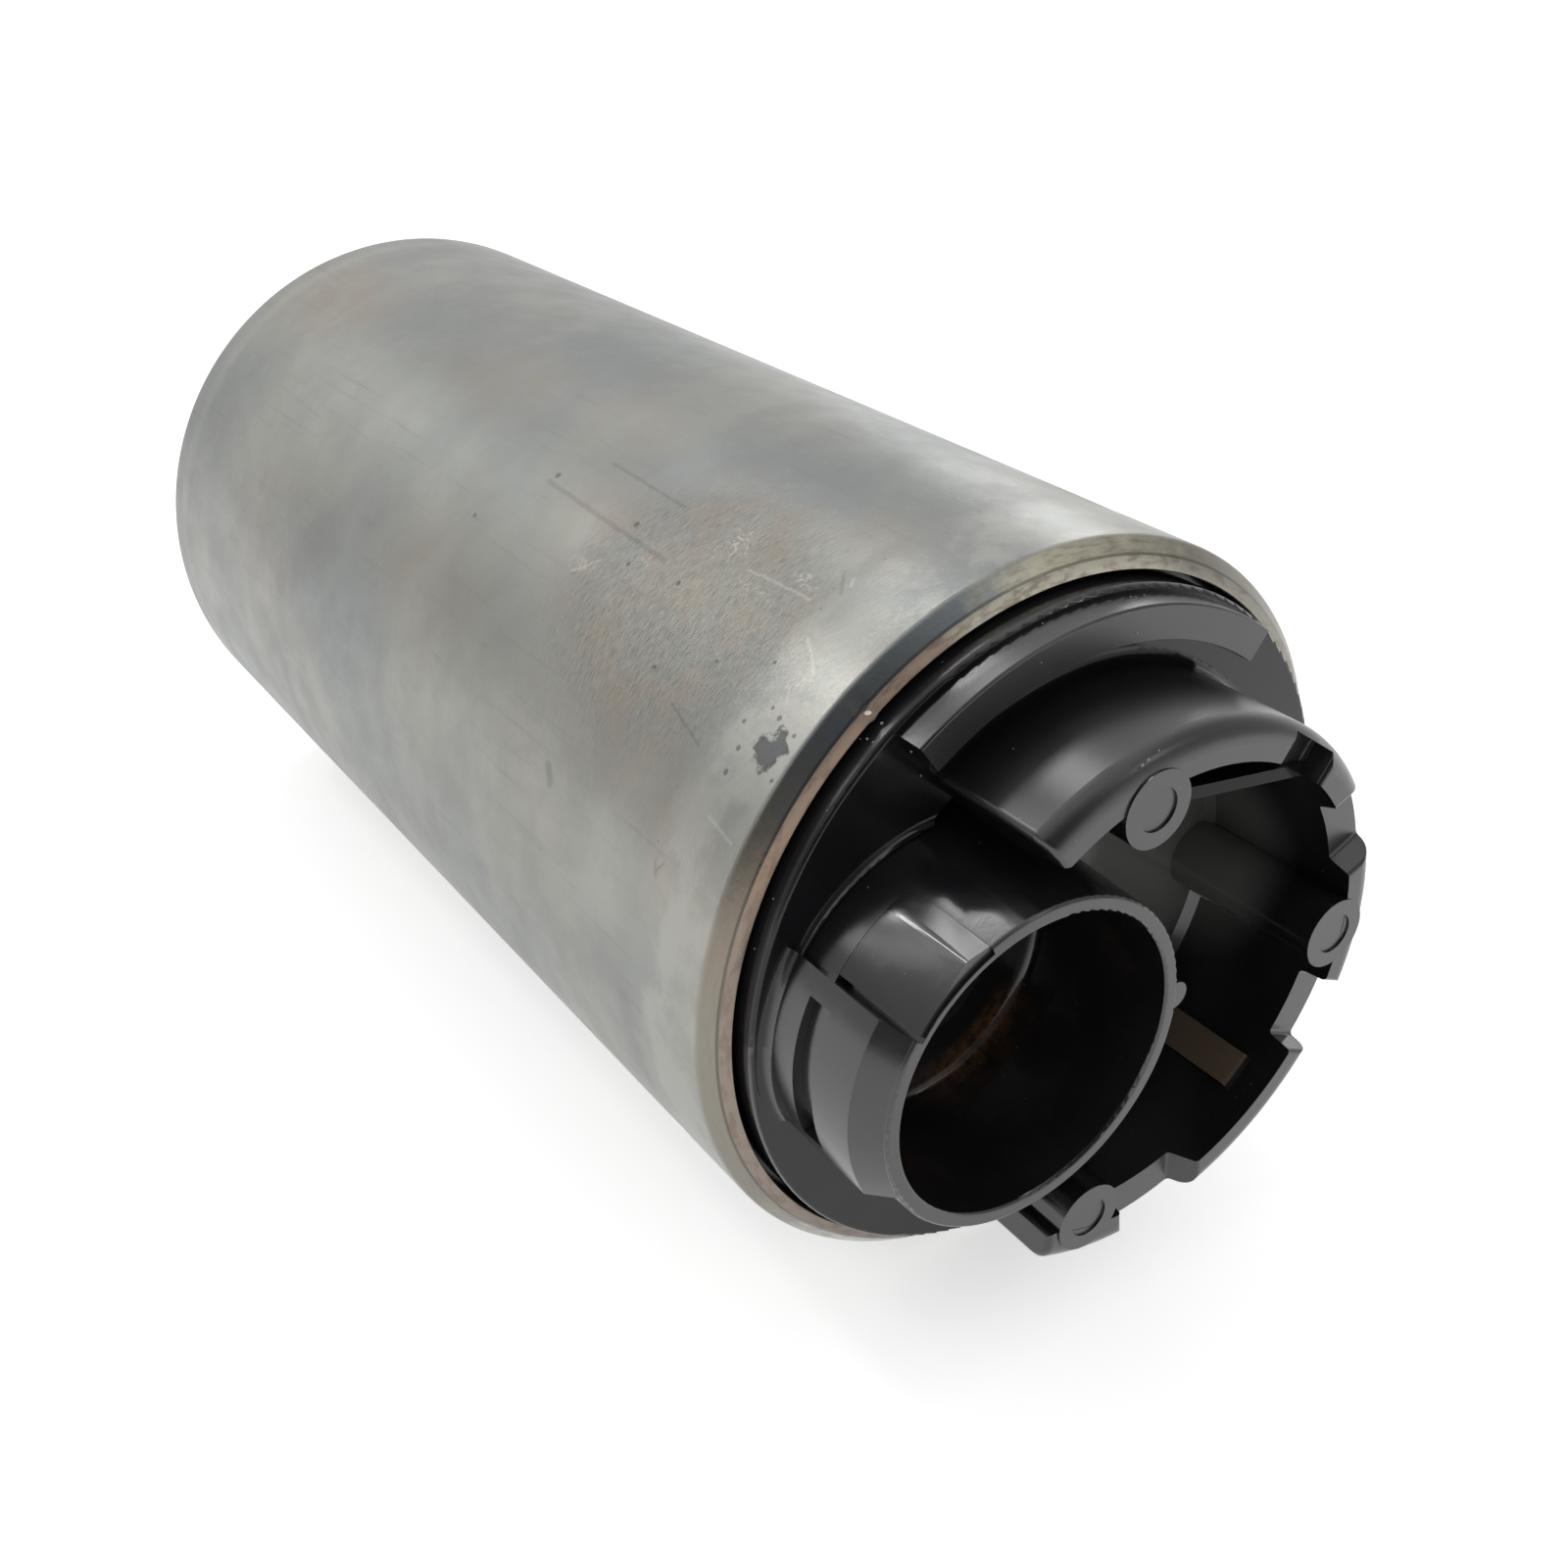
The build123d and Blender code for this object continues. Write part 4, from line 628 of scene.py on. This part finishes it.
# The tube's side of the moulding is glossier than the skirt's: y where it changes
SATIN_CHANGE = (-11.5, -9.5)
# Middle of the painted reflection on the cavity floor
CAVITY_REFLECTION_MIDDLE = (39.2, 9.5, 1.5)
# Rust in the inlet bore: four radii, four places along X and four angles, all from the bore's own
# axis, that say where it starts, is full, is still full and ends
INLET_Y = -8.7
RUST_RADII = (6.4, 7.4, 8.3, 8.6)
RUST_X = (38.0, 39.0, 40.6, 43.6)
RUST_ANGLES = (-92, -66, -42, -20)
# Brown face of the rib on the skirt's inner wall, a painted brown reflection, in the same terms from the
# pump's axis
STRIP_RADII = (12.95, 13.02, 13.5, 13.56)
STRIP_ANGLES = (-48.4, -48.1, -38.9, -38.6)
STRIP_FROM = (41.0, 42.5)


def plastic_material():
    material, g, shader = new_material("black_plastic", Metallic=0.0, IOR=1.5)
    place = g.place()
    parts = g.split(place)
    x = parts[0]
    cloudy = g.noise(place, 5, 4, 0.55)
    radius = g.away(parts[1], parts[2])
    facing = g.split(g.normal())[0]
    end_face = g.fade(facing, 0.75, 0.97)
    at_web_top = g.band(x, WEB_TOP, 0.1, 0.06)
    # Faces turned to the suction end: partly rubbed, partly lighter as painted light.
    rubbed_and_lit = g.times(end_face, g.math("SUBTRACT", 1.0, at_web_top), g.fade(x, *RUBBED_AND_LIT_FROM))

    shade = g.mix(g.fade(cloudy, 0.3, 0.7, 0.0, 0.6), PLASTIC_TINT, CLOUDED_TINT)
    shade = g.mix(g.times(rubbed_and_lit, g.fade(cloudy, 0.25, 0.7, 0.7, 1.0)), shade, FACE_TINT)
    shade = g.mix(g.fade(g.cells(place, 1.3), 0.06, 0.02, 0, 0.35), shade, SPECK_TINT)
    shade = g.mix(rust(g, parts, place), shade, RUST_TINT)
    shade = g.mix(brown_reflection_strip(g, parts, radius), shade, BROWN_REFLECTION_TINT)
    # Painted reflection of the bright room on the cavity floor.
    floor_reflection = g.fade(g.vector("DISTANCE", place, CAVITY_REFLECTION_MIDDLE), 8.5, 5.0, 0, 0.9)
    g.put(g.mix(floor_reflection, shade, CAVITY_FLOOR_REFLECTION_TINT), shader.inputs["Base Color"])

    satin = g.times(g.fade(radius, *SATIN_RADII), g.fade(x, *SATIN_FROM))
    rough = g.fade(cloudy, 0.25, 0.75, 0.13, 0.18)
    rough = g.blend(satin, rough, g.fade(parts[1], *SATIN_CHANGE, 0.2, 0.29))
    g.put(g.blend(rubbed_and_lit, rough, 0.3), shader.inputs["Roughness"])
    flange = g.times(g.fade(facing, 0.6, 0.9), g.fade(x, *FLANGE_TO))
    collar = g.times(g.fade(radius, *COLLAR_RADII), g.fade(x, *COLLAR_TO))
    collar_side = g.times(collar, g.fade(g.turn(parts[1], parts[2]), *COLLAR_DULL_FROM))
    level = g.blend(g.math("MAXIMUM", flange, collar_side), 0.9, 0.4)
    g.put(g.blend(g.times(at_web_top, end_face), level, 0.12), shader.inputs["Specular IOR Level"])
    ripple = g.bump(g.noise(place, 3.0, 2, 0.5), 0.012)
    g.put(g.bump(g.noise(place, 0.3, 4, 0.6), 0.003, ripple), shader.inputs["Normal"])
    return material


def rust(g, parts, place):
    """Rust that has settled on the floor of the inlet bore, on its lower right side."""
    y = g.math("SUBTRACT", parts[1], INLET_Y)
    ring = g.plateau(g.away(y, parts[2]), *RUST_RADII)
    deep = g.plateau(parts[0], *RUST_X)
    side = g.plateau(g.turn(y, parts[2]), *RUST_ANGLES)
    grains = g.fade(g.noise(place, 0.9, 5, 0.7), 0.3, 0.65)
    return g.times(ring, deep, side, grains)


def brown_reflection_strip(g, parts, radius):
    """The rib on the skirt's inner wall reads brown, as a painted reflection."""
    near = g.plateau(radius, *STRIP_RADII)
    across = g.plateau(g.turn(parts[1], parts[2]), *STRIP_ANGLES)
    return g.times(near, across, g.fade(parts[0], *STRIP_FROM, 0, 0.9))


# Finish of each inner slot: colour, roughness, metallic, grain, relief, stretch of the grain
FINISHES = {
    "seal_rubber": ((0.022, 0.022, 0.023), 0.55, 0.0, 0.3, 0.01, None),
    "cast_aluminium": ((0.60, 0.61, 0.62), 0.38, 1.0, 0.25, 0.01, (0.3, 3, 3)),
    "phenolic": ((0.16, 0.075, 0.035), 0.42, 0.0, 0.4, 0.01, None),
    "steel": ((0.56, 0.56, 0.57), 0.24, 1.0, 0.2, 0.004, (0.2, 4, 4)),
    "bronze": ((0.47, 0.31, 0.15), 0.42, 1.0, 0.2, 0.01, None),
    "ferrite": ((0.055, 0.055, 0.06), 0.55, 0.0, 0.3, 0.01, None),
    "spring_steel": ((0.50, 0.51, 0.53), 0.25, 1.0, 0.3, 0.005, None),
    "lamination": ((0.36, 0.37, 0.39), 0.38, 1.0, 0.5, 0.03, (1, 20, 20)),
    "copper": ((0.74, 0.38, 0.20), 0.30, 1.0, 0.4, 0.01, None),
    "nylon": ((0.74, 0.72, 0.65), 0.42, 0.0, 0.4, 0.008, None),
    "carbon": ((0.035, 0.035, 0.038), 0.6, 0.0, 0.15, 0.008, None),
    "tinned": ((0.70, 0.68, 0.62), 0.3, 1.0, 0.25, 0.005, (4, 1, 1)),
    "brass": ((0.72, 0.54, 0.25), 0.28, 1.0, 0.25, 0.005, (0.2, 3, 3)),
}
# The finish of the dust and of the painted glint grains, in the same terms
DUST_AND_GLINT_FINISH = ((0.42, 0.37, 0.31), 0.7, 0.0, 0.05, 0.01, None)
# How much darker and brighter the colour gets in mottles and in worn grains
DARKER, BRIGHTER = 0.72, 1.35


def simple_material(name, colour, roughness, metallic, grain, relief, stretch):
    """A finish with mottled colour and roughness and a fine relief."""
    material, g, shader = new_material(name, Metallic=metallic)
    place = g.place()
    mottling = g.noise(place, grain * 6, 4, 0.55)
    fine = g.noise(place, grain, 4, 0.6, stretch=stretch)
    shade = g.mix(g.fade(mottling, 0.3, 0.7), tuple(DARKER * part for part in colour), colour)
    worn = tuple(min(1.0, BRIGHTER * part) for part in colour)
    g.put(g.mix(g.fade(fine, 0.5, 0.75, 0, 0.3), shade, worn), shader.inputs["Base Color"])
    g.put(g.fade(mottling, 0.2, 0.8, roughness * 0.8, roughness * 1.2), shader.inputs["Roughness"])
    g.put(g.bump(fine, relief), shader.inputs["Normal"])
    return material


def dress_nodes():
    """Gives every node of the frame the finish of its slot."""
    finishes = {"barrel_steel": barrel_material(), "black_plastic": plastic_material()}
    for slot, finish in FINISHES.items():
        finishes[slot] = simple_material(slot, *finish)
    for entry in frame["record"]["subparts"]:
        node = frame["nodes"][entry["node"]]
        node.data.materials.clear()
        node.data.materials.append(finishes[entry["material_slot"]])
    return finishes


# Dust on the flange, the collar, the arc rib and the skirt: x, y, z and size of each grain. The last three
# are pale grains on the skirt's rounded edge where a burr glints: painted glints.
DUST_AND_GLINT_GRAINS = (
    (41.62, -11.26, 13.92, 0.16), (41.62, -10.53, 12.43, 0.13), (41.62, -6.3, 11.0, 0.12),
    (41.62, -7.41, 11.77, 0.09), (43.32, -5.3, 17.75, 0.1), (43.32, 0.84, 17.9, 0.08),
    (42.03, 1.45, 19.2, 0.1), (42.0, 2.4, 19.11, 0.09), (42.34, 1.54, 19.19, 0.06),
    (43.98, -7.07, 14.02, 0.08), (41.74, -3.96, 18.84, 0.08), (40.73, -12.41, 15.27, 0.17),
    (40.67, -13.16, 14.63, 0.12), (41.08, -13.14, 14.65, 0.1), (40.33, -13.29, 14.51, 0.08),
    (41.27, -15.7, 11.87, 0.07), (40.76, -18.15, 7.6, 0.09), (40.64, -19.02, 5.04, 0.09),
    (49.45, -4.3, 14.9, 0.13), (49.4, -3.9, 15.05, 0.1), (49.3, -3.2, 15.3, 0.08),
)
GRAIN_SEED = 7
# A grain's sizes as a share of its nominal size, and how far its points stray from a smooth shape
GRAIN_STRETCH = (0.6, 1.2)
GRAIN_STRAY = 0.07
GRAIN_SHARP = 60


def make_dust_and_glints(finish):
    """Small flattened grains on the black plastic: dust, and three painted glints."""
    chance = Random(GRAIN_SEED)
    made = bmesh.new()
    for x, y, z, size in DUST_AND_GLINT_GRAINS:
        stretch = [chance.uniform(*GRAIN_STRETCH) * size for _ in range(3)]
        turn = Matrix.Rotation(chance.uniform(0, pi), 4, Vector((chance.uniform(-1, 1), 1, 1)))
        spot = Matrix.Translation(Vector((x, y, z)) * MM) @ turn @ Matrix.Diagonal((*stretch, 1))
        grain = bmesh.ops.create_icosphere(made, subdivisions=2, radius=0.5 * MM, matrix=spot)
        for vert in grain["verts"]:
            vert.co += Vector([chance.uniform(-GRAIN_STRAY, GRAIN_STRAY) * size * MM for _ in range(3)])
    dust_and_glints = finished("dust_and_glints", made, GRAIN_SHARP)
    dust_and_glints.data.materials.append(finish)


# Stage, in metres and watts
FLOOR_REACH = 1.2
FLOOR_COLOUR = (0.88, 0.88, 0.88)
FLOOR_ROUGHNESS = 0.9
FLOOR_GLOW = 0.52
# Soft lights: place, size and power. They are turned to the suction end.
LIT_PLACE = (0.045, 0, 0)
SOFTBOXES = {
    "window": ((-0.288, 0.03, 0.446), (0.13, 0.09), 0.2),
    "strip": ((-0.294, -0.215, 0.385), (0.055, 0.055), 0.24),
    "low_window": ((-0.294, -0.334, 0.287), (0.17, 0.12), 0.1),
    "far_window": ((-0.318, 0.38, 0.19), (0.08, 0.07), 0.12),
    "front": ((0.34, 0.21, 0.43), (0.08, 0.08), 0.08),
    "side": ((0.05, -0.5, 0.42), (0.4, 0.3), 0.2),
}
WORLD_LIGHT = 0.7
# Dim parts of the room that the gloss picks up: direction, cosines where it is full and gone, level
DARK_SIDES = (
    ((0.78, -0.47, 0.41), 0.93, 0.55, 0.12),
    ((0.1, -0.9, 0.3), 0.9, 0.5, 0.45),
    ((0.35, 0.75, 0.55), 0.95, 0.7, 0.5),
)
WHITE = (1, 1, 1)


def make_floor():
    """A pale floor that looks white to the camera and in reflections, and still takes shadows."""
    size = FLOOR_REACH
    height = CAD_BOX[0][2]
    mesh = bpy.data.meshes.new("floor")
    corners = [(x * size, y * size, height) for x, y in ((-1, -1), (1, -1), (1, 1), (-1, 1))]
    mesh.from_pydata(corners, [], [(0, 1, 2, 3)])
    floor = bpy.data.objects.new("floor", mesh)
    bpy.context.scene.collection.objects.link(floor)
    material, g, shader = new_material("floor", Roughness=FLOOR_ROUGHNESS, Base_Color=FLOOR_COLOUR)
    g.put(0.0, shader.inputs["Specular IOR Level"])
    g.put(WHITE, shader.inputs["Emission Color"])
    path = g.node("ShaderNodeLightPath").outputs
    seen = g.math("MAXIMUM", path["Is Camera Ray"], path["Is Glossy Ray"])
    seen = g.math("MAXIMUM", seen, path["Is Transmission Ray"])
    g.put(g.times(seen, FLOOR_GLOW), shader.inputs["Emission Strength"])
    mesh.materials.append(material)


def make_world():
    """White to the camera, softer as light, and dimmed in places for what the gloss mirrors."""
    world = bpy.data.worlds.new("studio")
    world.use_nodes = True
    bpy.context.scene.world = world
    g = Graph(world.node_tree)
    background = world.node_tree.nodes["Background"]
    g.put(WHITE, background.inputs["Color"])
    way = g.node("ShaderNodeTexCoord").outputs["Generated"]
    mirrored = 1.0
    for direction, inner, outer, level in DARK_SIDES:
        towards = g.vector("DOT_PRODUCT", way, tuple(Vector(direction).normalized()))
        mirrored = g.times(mirrored, g.fade(towards, outer, inner, 1.0, level))
    path = g.node("ShaderNodeLightPath").outputs
    glossy = g.times(path["Is Glossy Ray"], mirrored)
    plain = g.math("SUBTRACT", 1.0, path["Is Glossy Ray"])
    seen = g.math("MAXIMUM", path["Is Camera Ray"], path["Is Transmission Ray"])
    direct = g.blend(seen, WORLD_LIGHT, 1.0)
    g.put(g.math("ADD", glossy, g.times(plain, direct)), background.inputs["Strength"])


def make_softbox(name, place, size, power):
    """A rectangular soft light that faces the suction end."""
    data = bpy.data.lights.new(name, "AREA")
    data.shape = "RECTANGLE"
    data.size, data.size_y = size
    data.energy = power
    light = bpy.data.objects.new(name, data)
    light.location = place
    light.rotation_euler = (Vector(LIT_PLACE) - Vector(place)).to_track_quat("-Z", "Y").to_euler()
    bpy.context.scene.collection.objects.link(light)


make_camera()
make_floor()
make_world()
for name, softbox in SOFTBOXES.items():
    make_softbox(name, *softbox)
finishes = dress_nodes()
barrel = make_barrel()
barrel.data.materials.append(finishes["barrel_steel"])
make_dust_and_glints(simple_material("dust_and_glints", *DUST_AND_GLINT_FINISH))

bpy.context.scene.view_settings.view_transform = "Standard"
